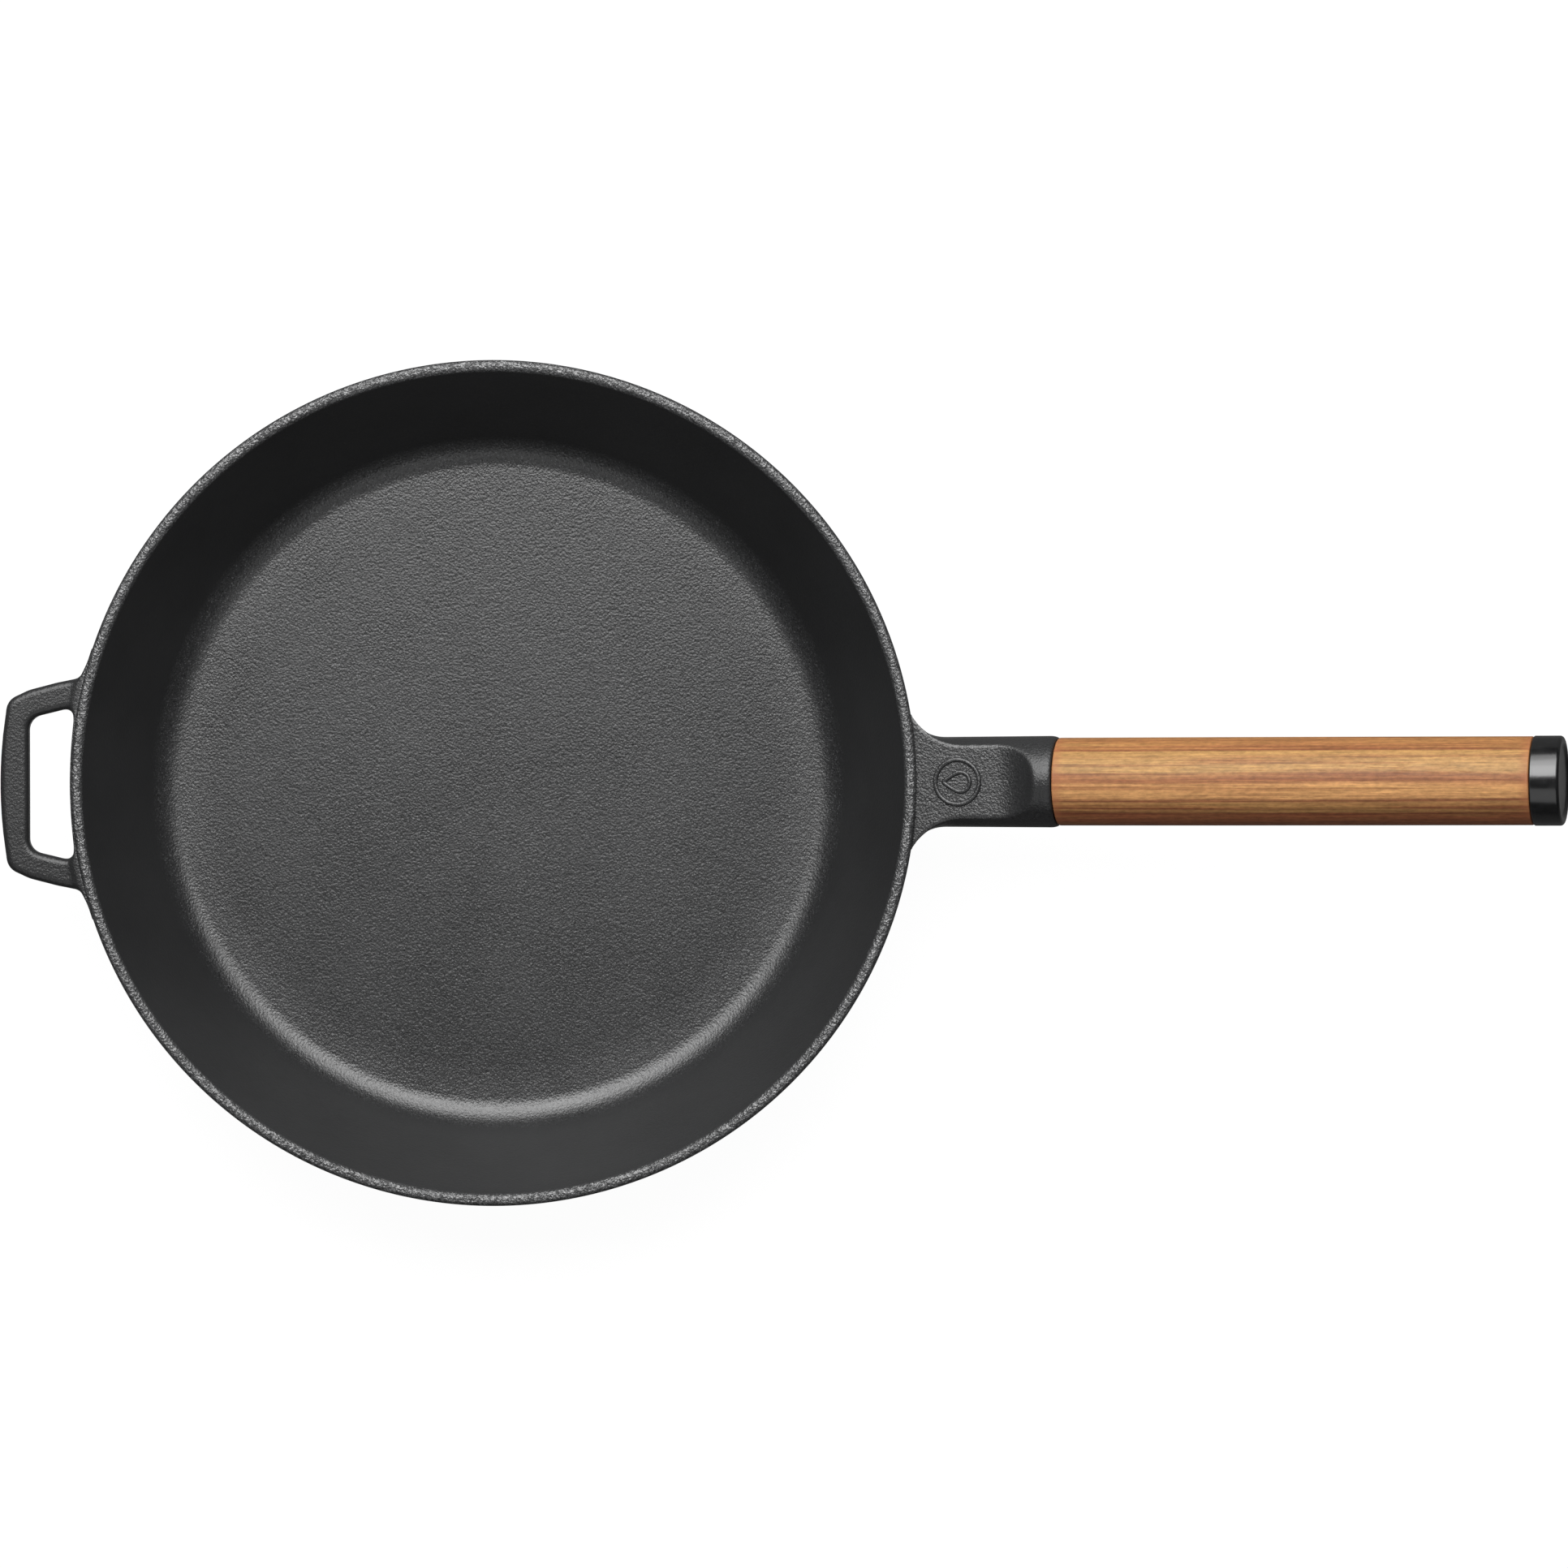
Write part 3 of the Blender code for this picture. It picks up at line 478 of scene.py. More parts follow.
def cut_socket(neck):
    """The flat-sided socket in the neck's mouth and the threaded bore behind it."""
    half_step = math.pi / ROD_STEPS
    # profiles are (radius, height along the handle's axis)
    socket = lathe(
        "socket_round",
        [(0.0, 6.0), (SOCKET_R, 6.0), (SOCKET_R, -SOCKET_DEPTH), (0.0, -SOCKET_DEPTH)],
        72,
    )
    width = handle_box("socket_width", (40.0, SOCKET_WIDTH, 60.0))
    entry = lathe(
        "bore_entry",
        [(0.0, -8.5), (5.4, -8.5), (5.4, -11.1), (3.4, -12.9), (0.0, -12.9)],
        ROD_STEPS,
        spin=half_step,
    )
    drill = lathe(
        "drill",
        [(0.0, -10.0), (4.37, -10.0), (4.37, -30.5), (0.0, -32.9)],
        ROD_STEPS,
        spin=half_step,
    )
    tap = threaded("tap", TAP_PLAY, -28.0, -10.0)
    length = lathe(
        "tap_length", [(0.0, -10.6), (7.0, -10.6), (7.0, -28.2), (0.0, -28.2)], ROD_STEPS
    )
    cut(socket, ("INTERSECT", width))
    cut(tap, ("INTERSECT", length))
    cut(neck, *[("DIFFERENCE", tool) for tool in (socket, entry, drill, tap)])


def build_casting():
    bowl = lathe("casting_visual", bowl_profile(), BOWL_STEPS, on_handle=False)
    neck = net_object(
        "neck_shell", neck_shell, (-82.0, -36.6, -28.0), (1.4, 36.6, 17.5), handle_grid
    )
    cut_socket(neck)
    loop = net_object("loop_shell", loop_shell, (-180.0, -56.0, 37.0), (-137.0, 56.0, 55.5))
    cut(bowl, ("UNION", neck), ("UNION", loop))
    return bowl


def turned_normals(obj, path):
    """The bowl's own normals on its turned faces, so that its joins don't crease them."""
    mesh = obj.data
    normal = np.empty(len(mesh.loops) * 3, np.float32)
    mesh.corner_normals.foreach_get("vector", normal)
    normal = normal.reshape(-1, 3)
    corner = np.empty(len(mesh.loops), np.int32)
    mesh.loops.foreach_get("vertex_index", corner)
    place = np.empty(len(mesh.vertices) * 3, np.float32)
    mesh.vertices.foreach_get("co", place)
    place = place.reshape(-1, 3).astype(float) * 1000.0
    path = np.array(path)
    along = path[1:] - path[:-1]
    size = np.linalg.norm(along, axis=1)
    side = np.stack([along[:, 1], -along[:, 0]], 1) / size[:, None]
    at_points = np.concatenate([side[:1], side[:-1] + side[1:], side[-1:]])
    at_points /= np.linalg.norm(at_points, axis=1, keepdims=True)
    radius, height = np.hypot(place[:, 0], place[:, 1]), place[:, 2]
    best = np.full(len(place), 1e9)
    turned = np.zeros((len(place), 3))
    for i, (r0, z0) in enumerate(path[:-1]):
        share = ((radius - r0) * along[i, 0] + (height - z0) * along[i, 1]) / size[i] ** 2
        share = np.clip(share, 0, 1)
        gap = np.hypot(radius - r0 - along[i, 0] * share, height - z0 - along[i, 1] * share)
        nearer = gap < best
        best[nearer] = gap[nearer]
        blend = at_points[i] * (1 - share)[:, None] + at_points[i + 1] * share[:, None]
        out = place[:, :2] / np.maximum(radius, 1e-6)[:, None] * blend[:, :1]
        turned[nearer] = np.column_stack([out, blend[:, 1]])[nearer]
    turned /= np.maximum(np.linalg.norm(turned, axis=1, keepdims=True), 1e-9)
    wanted = turned[corner]
    # only corners on the profile, where the normal is already close
    use = (best[corner] < 0.03) & ((wanted * normal).sum(1) > 0.9)
    normal[use] = wanted[use]
    mesh.normals_split_custom_set(normal.tolist())


# ---------------------------------------------------------------- other pieces

# a ridge's section: (share of its width, share of its height)
RIDGE = (
    (-0.5, -0.35), (-0.5, 0.1), (-0.42, 0.55), (-0.27, 0.88), (0.0, 1.0),
    (0.27, 0.88), (0.42, 0.55), (0.5, 0.1), (0.5, -0.35),
)


def add_ridge(verts, faces, line, width):
    """A low rounded ridge along a closed plan line (along, across), standing on the flat."""
    line = np.array(line)
    ahead = np.roll(line, -1, axis=0) - np.roll(line, 1, axis=0)
    ahead /= np.linalg.norm(ahead, axis=1, keepdims=True)
    sideways = np.stack([-ahead[:, 1], ahead[:, 0]], 1)
    first, count, size = len(verts), len(line), len(RIDGE)
    for k in range(count):
        for share, height in RIDGE:
            along, across = line[k] + sideways[k] * share * width
            verts.append((along, across, FACET_H + height * RIDGE_H))
    for k in range(count):
        here, after = first + k * size, first + (k + 1) % count * size
        for j in range(size):
            i = (j + 1) % size
            faces.append((here + j, here + i, after + i, after + j))


def build_mark():
    """A raised mark on the neck's flat: a ring around a drop."""
    ring, drop = [], []
    for k in range(MARK_STEPS):
        angle = 2 * math.pi * k / MARK_STEPS
        cos, sin = math.cos(angle), math.sin(angle)
        ring.append((MARK_AT + RING_R * cos, RING_R * sin))
        # the side towards the pan is drawn out to a tip
        pull = max(0.0, -cos) ** DROP_POWER
        drop.append(
            (
                MARK_AT + DROP_SHIFT + DROP_R * cos - DROP_PULL * pull,
                DROP_R * sin * (1 - DROP_PINCH * pull),
            )
        )
    verts, faces = [], []
    add_ridge(verts, faces, ring, RING_WIDTH)
    add_ridge(verts, faces, drop, DROP_WIDTH)
    return mesh_object("raised_mark", handle_grid(np.array(verts)), faces)


def build_grip():
    """The wooden grip, bored through, with a flat-sided tenon that enters the socket."""
    # (radius, height along the handle's axis, round)
    corners = [
        (10.4, 175.8, 0), (13.4, 175.8, 0.5), (13.4, 171.3, 0), (15.75, 171.3, 0.6),
        (15.78, 120.0, 0), (15.80, 60.0, 0), (15.75, 0.3, 0.6), (10.2, 0.3, 0),
        (10.2, -7.5, 0.6), (5.35, -7.5, 0), (5.35, 167.6, 0), (10.4, 167.6, 0),
    ]
    grip = lathe("grip_visual", rounded(corners, True, 15.0), GRIP_STEPS)
    thick = 10.0
    flats = [
        handle_box(
            f"tenon_flat_{i}", (40.0, thick, 12.0), (0.0, sign * (TENON_HALF_WIDTH + thick / 2), -5.7)
        )
        for i, sign in enumerate((1, -1))
    ]
    cut(grip, *[("DIFFERENCE", flat) for flat in flats])
    return grip


def build_cap():
    """The iron cap over the grip's far end."""
    # (radius, height along the handle's axis, round)
    corners = [
        (0.0, 181.3, 0), (12.6, 181.3, 0.5), (13.35, 182.0, 0.35), (15.95, 182.0, 1.3),
        (15.95, 171.6, 0.4), (13.75, 171.6, 0), (13.75, 177.4, 0.6), (8.0, 177.4, 0.4),
        (8.0, 176.2, 0.2), (5.3, 176.2, 0), (5.3, 178.9, 0), (0.0, 178.9, 0),
    ]
    return lathe("cap_visual", rounded(corners, False, 10.0), GRIP_STEPS)


def build_rod():
    """The rod through the grip, grooved near its threaded end in the neck."""
    # profiles are (radius, height along the handle's axis)
    bar = [
        (0.0, 178.6), (4.4, 178.6), (5.0, 178.0), (5.0, -7.7), (4.2, -7.7), (4.2, -9.0),
        (5.0, -9.0), (5.0, -10.4), (4.0, -11.2), (4.0, -12.8), (0.0, -12.8),
    ]
    tip = [(0.0, -12.2), (3.9, -12.2), (5.4, -13.1), (5.4, -24.1), (3.8, -25.5), (0.0, -25.5)]
    rod = lathe("rod_visual", bar, ROD_STEPS)
    screw = threaded("rod_thread", 0.0, -25.5, -12.2)
    cut(screw, ("INTERSECT", lathe("rod_form", tip, ROD_STEPS)))
    cut(rod, ("UNION", screw))
    return rod


# ---------------------------------------------------------------- materials, in metres


class Nodes:
    """A short way to write the shader nodes of a material or world."""

    def __init__(self, owner):
        owner.use_nodes = True
        self.owner = owner
        self.tree = owner.node_tree

    def add(self, kind, **values):
        node = self.tree.nodes.new(kind)
        for key, value in values.items():
            setattr(node, key, value)
        return node

    def put(self, socket, value):
        if isinstance(value, bpy.types.NodeSocket):
            self.tree.links.new(value, socket)
        else:
            socket.default_value = value

    def local(self):
        return self.add("ShaderNodeTexCoord").outputs["Object"]

    def maths(self, operation, *values, clamp=False):
        node = self.add("ShaderNodeMath", operation=operation, use_clamp=clamp)
        for socket, value in zip(node.inputs, values):
            self.put(socket, value)
        return node.outputs[0]

    def times(self, one, two):
        return self.maths("MULTIPLY", one, two)

    def plus(self, one, two):
        return self.maths("ADD", one, two)

    def minus(self, one, two):
        return self.maths("SUBTRACT", one, two)

    def larger(self, one, two):
        return self.maths("MAXIMUM", one, two)

    def scaled(self, value, by, plus):
        return self.maths("MULTIPLY_ADD", value, by, plus)

    def noise(self, vector, scale, detail=3.0, rough=0.5):
        node = self.add("ShaderNodeTexNoise")
        self.put(node.inputs["Vector"], vector)
        node.inputs["Scale"].default_value = scale
        node.inputs["Detail"].default_value = detail
        node.inputs["Roughness"].default_value = rough
        return node.outputs["Fac"]

    def cells(self, vector, scale):
        node = self.add("ShaderNodeTexVoronoi")
        self.put(node.inputs["Vector"], vector)
        node.inputs["Scale"].default_value = scale
        return node.outputs["Distance"]

    def mapped(self, vector, **values):
        node = self.add("ShaderNodeMapping")
        for key, value in {"Vector": vector, **values}.items():
            self.put(node.inputs[key], value)
        return node.outputs[0]

    def split(self, vector):
        node = self.add("ShaderNodeSeparateXYZ")
        self.put(node.inputs[0], vector)
        return node.outputs

    def join(self, x, y, z):
        node = self.add("ShaderNodeCombineXYZ")
        for socket, value in zip(node.inputs, (x, y, z)):
            self.put(socket, value)
        return node.outputs[0]

    def spread(self, value, over, to=(0.0, 1.0), smooth=False):
        """The value's range `over` stretched to the range `to`, and clamped there."""
        node = self.add("ShaderNodeMapRange", clamp=True)
        if smooth:
            node.interpolation_type = "SMOOTHSTEP"
        for socket, setting in zip(node.inputs, (value, *over, *to)):
            self.put(socket, setting)
        return node.outputs[0]

    def mix(self, share, base, layer, mode="MIX"):
        node = self.add("ShaderNodeMix", data_type="RGBA", blend_type=mode)
        self.put(node.inputs[0], share)
        self.put(node.inputs[6], base)
        self.put(node.inputs[7], layer)
        return node.outputs[2]

    def tinted(self, colour, tone):
        return self.mix(1.0, colour, self.join(tone, tone, tone), "MULTIPLY")

    def ramp(self, value, stops):
        node = self.add("ShaderNodeValToRGB")
        self.put(node.inputs[0], value)
        elements = node.color_ramp.elements
        while len(elements) < len(stops):
            elements.new(0.5)
        for element, (position, colour) in zip(elements, stops):
            element.position = position
            element.color = colour
        return node.outputs[0]

    def bump(self, height, distance, strength, under=None):
        node = self.add("ShaderNodeBump")
        node.inputs["Strength"].default_value = strength
        node.inputs["Distance"].default_value = distance
        self.put(node.inputs["Height"], height)
        if under is not None:
            self.put(node.inputs["Normal"], under)
        return node.outputs[0]

    def edges(self, size):
        """1 on sharp edges, from the angle between the normal and a rounded normal."""
        bevel = self.add("ShaderNodeBevel", samples=6)
        bevel.inputs["Radius"].default_value = size
        plain = self.add("ShaderNodeNewGeometry").outputs["Normal"]
        node = self.add("ShaderNodeVectorMath", operation="DOT_PRODUCT")
        self.put(node.inputs[0], bevel.outputs[0])
        self.put(node.inputs[1], plain)
        return self.spread(node.outputs["Value"], over=(0.99, 0.9))

    def wear(self, vector, size, over, **texture):
        """Edges of this size, broken up by noise."""
        return self.times(self.edges(size), self.spread(self.noise(vector, **texture), over))

    def finish(self, node="Principled BSDF", **values):
        for key, value in values.items():
            self.put(self.tree.nodes[node].inputs[key.replace("_", " ")], value)
        return self.owner


def new_look(name):
    return Nodes(bpy.data.materials.new(name))


def grey(value):
    """A slightly blue grey."""
    return (value, value * 1.012, value * 1.035, 1.0)


def cast_iron():
    """Pebbled on the floor, the rim and the neck's flat; the rest is smoother."""
    look = new_look("cast_iron_look")
    place = look.local()
    x, y, z = look.split(place)
    radius = look.maths("SQRT", look.plus(look.times(x, x), look.times(y, y)))
    # how far outside the inner wall's cone
    out = look.minus(radius, look.scaled(z, by=0.501, plus=0.1206))
    # masks of the pebbled places
    floor = look.times(
        look.spread(radius, over=(0.1235, 0.1275), to=(1.0, 0.0), smooth=True),
        look.spread(z, over=(0.0035, 0.0043)),
    )
    rim = look.times(
        look.spread(z, over=(0.0532, 0.0544), smooth=True),
        look.times(
            look.spread(radius, over=(0.1472, 0.1478)),
            look.spread(radius, over=(0.1520, 0.1526), to=(1.0, 0.0)),
        ),
    )
    # height over the handle's axis
    above = look.scaled(
        look.minus(x, MOUTH[0] * MM),
        by=-math.sin(TILT),
        plus=look.times(look.minus(z, MOUTH[2] * MM), math.cos(TILT)),
    )
    flat = look.times(
        look.times(
            look.spread(above, over=(0.0108, 0.0103)), look.spread(above, over=(0.0088, 0.0093))
        ),
        look.times(look.spread(x, over=(0.1500, 0.1515)), look.spread(out, over=(0.001, 0.002))),
    )
    soft_scoop = look.times(
        look.spread(above, over=(0.0155, 0.0100)), look.spread(x, over=(0.160, 0.175))
    )
    flat = look.larger(flat, look.times(soft_scoop, look.spread(above, over=(0.0088, 0.0093))))
    pebbled = look.maths("MAXIMUM", floor, look.larger(rim, flat), clamp=True)
    inner = look.times(
        look.spread(out, over=(0.0004, 0.0016), to=(1.0, 0.0)), look.minus(1.0, pebbled)
    )

    # the fine grain is turned, so that its grid never lines up with an axis
    askew = look.mapped(place, Rotation=(0.61, 0.47, 0.83))
    pebble = look.cells(askew, scale=1150.0)
    grit = look.noise(askew, scale=1900.0, detail=2.0, rough=0.6)
    coarse = look.noise(askew, scale=800.0, detail=2.0)
    patches = look.noise(place, scale=26.0, detail=4.0, rough=0.55)
    waves = look.noise(place, scale=9.0, detail=2.0)

    # relief, with the grain's strength by place
    height = look.plus(
        look.times(pebble, -1.0), look.plus(look.times(grit, 0.8), look.times(coarse, 0.9))
    )
    grain = look.scaled(inner, by=-0.46, plus=0.60)
    for mask, strength in ((floor, 0.62), (rim, 1.75), (flat, 0.88)):
        grain = look.larger(grain, look.times(mask, strength))
    normal = look.bump(look.times(height, grain), distance=0.00019, strength=0.72)
    swell = look.noise(askew, scale=160.0, detail=2.0)
    normal = look.bump(swell, distance=0.00020, strength=0.25, under=normal)

    # broad tone, pale specks that are painted glints of the grain, and dark pits
    tone = look.spread(patches, over=(0.3, 0.7), to=(0.88, 1.12))
    tone = look.times(tone, look.spread(waves, over=(0.3, 0.7), to=(0.94, 1.06)))
    # painted glints: pale specks in the colour, more on the rim and fewer on the neck's flat
    painted_glints = look.times(
        look.spread(grit, over=(0.54, 0.70)), look.spread(coarse, over=(0.40, 0.56))
    )
    painted_glints = look.times(painted_glints, look.scaled(rim, by=0.45, plus=0.55))
    painted_glints = look.times(painted_glints, look.scaled(flat, by=-0.6, plus=1.0))
    pits = look.noise(askew, scale=1250.0, detail=2.0, rough=0.6)
    pits = look.spread(pits, over=(0.30, 0.46), to=(0.45, 1.0))

    def floor_middle():
        """The cooking surface, fading out before its rounded corner."""
        fade = look.spread(radius, over=(0.100, 0.116), to=(1.0, 0.0), smooth=True)
        return look.times(floor, fade)

    # the pebbled places get their painted glints as pale specks
    base = look.mix(painted_glints, base=grey(0.0165), layer=grey(0.14))
    base = look.mix(pebbled, base=grey(0.0205), layer=base)
    # the rim a little lighter in colour: a painted sheen on its rounded top
    base = look.mix(look.times(rim, 0.3), base, layer=grey(0.06))
    wear = look.wear(
        askew, size=0.0010, over=(0.42, 0.62), scale=420.0, detail=3.0, rough=0.7
    )
    # the cooking surface's middle made a little darker in colour
    darker_middle = floor_middle()
    base = look.mix(look.times(darker_middle, 0.2), base, layer=grey(0.006))
    base = look.mix(look.times(wear, 0.35), base, layer=grey(0.09))
    base = look.tinted(base, tone)
    pits = look.scaled(look.minus(pits, 1.0), by=pebbled, plus=1.0)
    base = look.tinted(base, pits)

    rough = look.spread(patches, over=(0.3, 0.7), to=(0.31, 0.355))
    rough = look.scaled(wear, by=-0.08, plus=rough)
    shine = look.scaled(pebbled, by=0.32, plus=0.42)
    shine = look.scaled(rim, by=0.20, plus=shine)
    # the rim's pebbles are coarser, and catch the light one by one
    knobs = look.spread(coarse, over=(0.36, 0.64), to=(-0.60, 0.60))
    shine = look.times(shine, look.scaled(look.times(rim, knobs), by=1.0, plus=1.0))
    # the cooking surface is a little duller in its middle than at its rounded corner
    shine = look.times(shine, look.scaled(floor_middle(), by=-0.20, plus=1.0))
    shine = look.times(shine, look.scaled(pits, by=0.6, plus=0.4))
    return look.finish(
        Base_Color=base, Roughness=rough, Specular_IOR_Level=shine, Normal=normal, Metallic=0.0
    )


def black_iron():
    look = new_look("black_iron_look")
    place = look.local()
    fine = look.noise(place, scale=2400.0, rough=0.6)
    soft = look.noise(place, scale=300.0)
    wear = look.wear(place, size=0.0006, over=(0.45, 0.6), scale=600.0, detail=3.0, rough=0.7)
    base = look.mix(look.spread(soft, over=(0.35, 0.65)), base=grey(0.005), layer=grey(0.009))
    base = look.mix(look.times(wear, 0.5), base, layer=grey(0.10))
    rough = look.spread(soft, over=(0.3, 0.7), to=(0.17, 0.21))
    height = look.plus(fine, look.times(soft, 2.0))
    normal = look.bump(height, distance=0.00002, strength=0.25)
    return look.finish(Base_Color=base, Roughness=rough, Specular_IOR_Level=0.75, Normal=normal)


GOLD, TAN, PINK = (0.365, 0.202, 0.070, 1), (0.34, 0.172, 0.063, 1), (0.27, 0.113, 0.046, 1)
# the third colour on the next line, a darker redder brown, is the wood's redder tone plus painted
# shade
BROWN, LINE, PAINTED_SHADE_BROWN = (0.345, 0.160, 0.057, 1), (0.170, 0.050, 0.024, 1), (0.32, 0.110, 0.047, 1)
PALE = (0.47, 0.243, 0.094, 1)
END_GRAIN, WORN_WOOD = (0.33, 0.115, 0.050, 1), (0.55, 0.36, 0.17, 1)

# the wood's colours around the grip: (degrees from the top, colour); the band from -76 to -50
# degrees, on the side away from the key light, is the wood's redder tone plus painted shade
WOOD_BANDS = (
    (-180, TAN), (-150, GOLD), (-139, LINE), (-134, TAN), (-108, BROWN), (-92, TAN),
    (-76, PAINTED_SHADE_BROWN), (-50, PAINTED_SHADE_BROWN), (-45.5, LINE), (-43, TAN), (-39.5, TAN), (-36.6, LINE),
    (-34, BROWN), (-28, TAN), (-25, LINE), (-22.5, PALE), (-5, PALE), (0, PINK), (8, PINK),
    (12, GOLD), (31, GOLD), (33, TAN), (36, GOLD), (42.5, GOLD), (45, LINE), (48, BROWN),
    (78, BROWN), (100, TAN), (118, LINE), (124, GOLD), (180, TAN),
)


def stained_wood():
    look = new_look("stained_wood_look")
    place = look.local()  # z runs along the handle, x points up and y to the side
    x, y, z = look.split(place)

    def strands(along, scale, detail=3.0, rough=0.5):
        """Noise drawn out along the handle; `along` is its scale there."""
        return look.noise(look.mapped(place, Scale=(1.0, 1.0, along)), scale, detail, rough)

    # colour bands around the grip, swerving a little along it; the band low on the side away from the
    # key light is partly painted shade
    angle = look.maths("ARCTAN2", y, x)
    drift = strands(along=0.10, scale=70.0)
    swerve = look.times(look.minus(drift, 0.5), 0.20)
    around = look.scaled(look.plus(angle, swerve), by=0.5 / math.pi, plus=0.5)
    colour = look.ramp(around, [(0.5 + degrees / 360.0, band) for degrees, band in WOOD_BANDS])

    streak = strands(along=0.012, scale=560.0, rough=0.55)
    broad = strands(along=0.045, scale=260.0, rough=0.55)
    fibre = strands(along=0.03, scale=1500.0, detail=2.0, rough=0.6)
    mottle = strands(along=0.4, scale=900.0, detail=2.0, rough=0.6)
    pores = strands(along=0.06, scale=2300.0, detail=2.0, rough=0.6)
    pores = look.spread(pores, over=(0.60, 0.70))
    colour = look.mix(look.spread(broad, over=(0.52, 0.66), to=(0.0, 0.5)), colour, PINK)
    colour = look.mix(look.spread(broad, over=(0.46, 0.34), to=(0.0, 0.45)), colour, GOLD)
    colour = look.mix(look.spread(streak, over=(0.53, 0.63), to=(0.0, 0.48)), colour, LINE)
    colour = look.mix(look.times(pores, 0.35), colour, LINE)
    tint = look.times(
        look.spread(fibre, over=(0.34, 0.66), to=(0.80, 1.19)),
        look.spread(mottle, over=(0.34, 0.66), to=(0.84, 1.16)),
    )
    colour = look.tinted(colour, tint)
    ends = look.larger(
        look.spread(z, over=(0.0042, 0.0008)), look.spread(z, over=(0.1672, 0.1708))
    )
    colour = look.mix(look.times(ends, 0.5), colour, END_GRAIN)
    colour = look.mix(look.times(look.edges(size=0.0008), 0.35), colour, WORN_WOOD)

    rough = look.spread(fibre, over=(0.2, 0.8), to=(0.44, 0.56))
    rough = look.scaled(pores, by=0.1, plus=rough)
    height = look.plus(look.times(fibre, 0.8), look.times(pores, -1.0))
    height = look.plus(height, look.times(streak, 0.6))
    normal = look.bump(height, distance=0.00006, strength=0.6)
    return look.finish(Base_Color=colour, Roughness=rough, Specular_IOR_Level=0.26, Normal=normal)


def plated(name, tone, roughness):
    """Metal with fine turning rings; roughness is its (low, high) range."""
    look = new_look(name)
    place = look.local()
    x, y, z = look.split(place)
    squeezed = look.join(look.times(x, 0.05), look.times(y, 0.05), z)
    rings = look.noise(squeezed, scale=4200.0, rough=0.6)
    cloud = look.noise(place, scale=220.0, detail=4.0, rough=0.6)
    wear = look.wear(place, size=0.0004, over=(0.4, 0.6), scale=900.0, detail=2.0, rough=0.6)
    patchy = look.spread(cloud, over=(0.35, 0.65))
    base = look.mix(patchy, base=grey(tone * 0.82), layer=grey(tone))
    base = look.mix(look.times(wear, 0.6), base, layer=grey(min(0.8, tone * 1.6)))
    rough = look.spread(cloud, over=(0.3, 0.7), to=roughness)
    height = look.plus(rings, look.times(cloud, 1.5))
    normal = look.bump(height, distance=0.00003, strength=0.5)
    return look.finish(Base_Color=base, Roughness=rough, Metallic=1.0, Normal=normal)


iron_look = cast_iron()
cap_look = black_iron()
wood_look = stained_wood()
zinc_look = plated("zinc_steel_look", tone=0.55, roughness=(0.24, 0.38))
spring_look = plated("spring_steel_look", tone=0.16, roughness=(0.3, 0.42))

# ---------------------------------------------------------------- pieces into the frame


def keep(obj, look, body, node=None, sharp=35.0):
    """Shades a piece, edges over `sharp` degrees kept sharp, and tells the frame about it."""
    obj.data.materials.clear()
    obj.data.materials.append(look)
    obj.data.shade_smooth()
    obj.data.set_sharp_from_angle(angle=math.radians(sharp))
    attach(obj, body)
    if node:
        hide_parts(node)


casting = build_casting()
keep(casting, iron_look, "pan", "pan_casting", sharp=40.0)
turned_normals(casting, bowl_profile())
keep(build_mark(), iron_look, "pan", sharp=60.0)
keep(build_grip(), wood_look, "grip", "handle_grip")
keep(build_cap(), cap_look, "rod", "end_cap")
keep(build_rod(), zinc_look, "rod", "tie_rod", sharp=30.0)

# the small CAD pieces keep their meshes
for name, look in (
    ("lock_nut", zinc_look),
    ("plain_washer", zinc_look),
    ("spring_washer", spring_look),
    ("retaining_ring", spring_look),
):
    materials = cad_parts[name].data.materials
    materials.clear()
    materials.append(look)

# ---------------------------------------------------------------- stage, light, camera

FLOOR_HALF, FLOOR_Z = 6, -0.0004
AIM_Z = 0.05


def floor_look():
    """Evenly pale to the camera; to other rays dark, with a pale bounce close to the object."""
    look = new_look("floor_look")
    rays = look.add("ShaderNodeLightPath").outputs
    base = look.mix(
        rays["Is Camera Ray"], base=(0.10, 0.10, 0.10, 1.0), layer=(0.06, 0.06, 0.06, 1.0)
    )
    near = look.spread(rays["Ray Length"], over=(0.030, 0.068), to=(0.5, 0.0), smooth=True)
    glow = look.add("ShaderNodeMix", data_type="FLOAT")
    look.put(glow.inputs[0], rays["Is Camera Ray"])
    look.put(glow.inputs[2], near)
    look.put(glow.inputs[3], 0.965)
    return look.finish(
        Base_Color=base,
        Roughness=0.9,
        Specular_IOR_Level=0.1,
        Emission_Color=(1.0, 1.0, 1.0, 1.0),
        Emission_Strength=glow.outputs[0],
    )


def plain_floor():
    corners = [(x * FLOOR_HALF, y * FLOOR_HALF, FLOOR_Z)
               for x, y in ((-1, -1), (1, -1), (1, 1), (-1, 1))]
    mesh = bpy.data.meshes.new("floor")
    mesh.from_pydata(corners, [], [(0, 1, 2, 3)])
    obj = linked("floor", mesh)
    mesh.materials.append(floor_look())
    return obj


plain_floor()

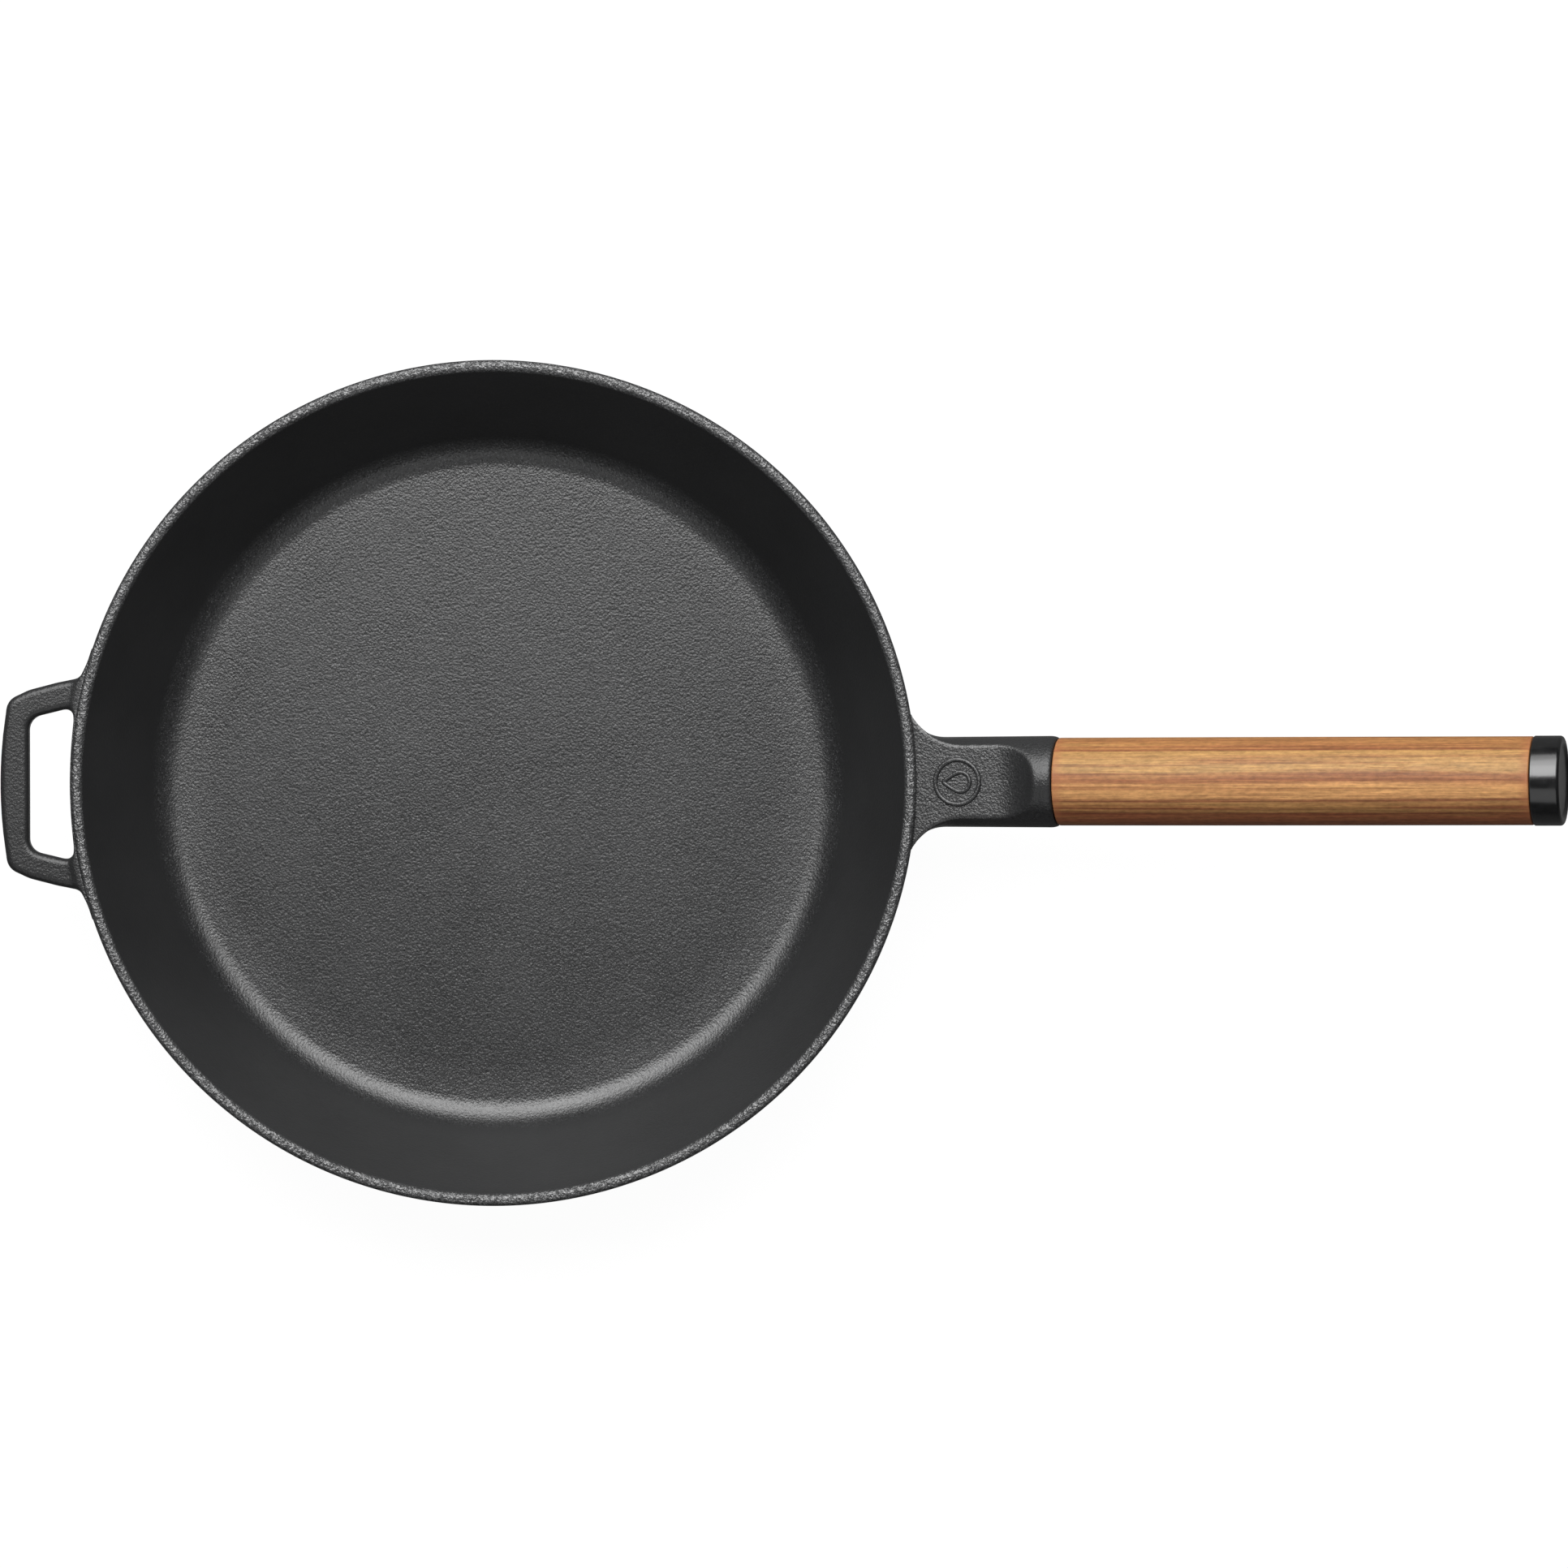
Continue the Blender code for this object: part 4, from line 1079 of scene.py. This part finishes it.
# Soft panels, each facing the object and seen from it between two angles off the zenith:
# name, low and high angle, side (1 is +Y), width along X, distance, radiance, x
PANELS = (
    ("key_low", 11.5, 40.0, 1, 1.15, 1.5, 7.5, -0.1),
    ("key_middle", 40.0, 55.0, 1, 1.25, 1.5, 5.8, -0.1),
    ("key_high", 55.0, 70.0, 1, 1.3, 1.5, 3.0, -0.1),
    ("wing_left", 12.0, 58.0, 1, 0.6, 1.5, 3.2, -1.0),
    ("wing_right", 12.0, 58.0, 1, 0.6, 1.5, 3.2, 0.8),
    ("fill", 21.0, 58.0, -1, 1.4, 1.6, 0.8, 0.0),
)


def panel(name, low, high, side, width, distance, radiance, x):
    height = 2 * math.tan(math.radians((high - low) / 2)) * distance
    light = bpy.data.lights.new(name, "AREA")
    light.shape = "RECTANGLE"
    light.size, light.size_y = width, height
    light.energy = radiance * math.pi * width * height
    obj = linked(name, light)
    angle = math.radians((low + high) / 2)
    towards = Vector((0.0, side * math.sin(angle), math.cos(angle))).normalized()
    obj.location = Vector((x, 0.0, AIM_Z)) + towards * distance
    obj.rotation_euler = towards.to_track_quat("Z", "Y").to_euler()
    obj.visible_camera = False


for row in PANELS:
    panel(*row)

# the world is pale to the camera and dark to everything else
world = bpy.data.worlds.new("world")
bpy.context.scene.world = world
sky = Nodes(world)
camera_ray = sky.add("ShaderNodeLightPath").outputs["Is Camera Ray"]
sky_colour = sky.mix(
    camera_ray, base=(0.05, 0.05, 0.052, 1.0), layer=(0.95, 0.95, 0.95, 1.0)
)
sky.finish("Background", Color=sky_colour, Strength=1.0)

# the camera looks almost straight down
camera_data = bpy.data.cameras.new("camera")
camera_data.sensor_width = 36.0
camera_data.lens = 176.8
camera_data.clip_start, camera_data.clip_end = 0.1, 20.0
camera = linked("camera", camera_data)
camera.location = (0.11655, 0.00615, 2.8188)
camera.rotation_euler = [math.radians(degrees) for degrees in (-0.1405, 0.251, -0.1426)]
bpy.context.scene.camera = camera
bpy.context.scene.view_settings.view_transform = "Standard"
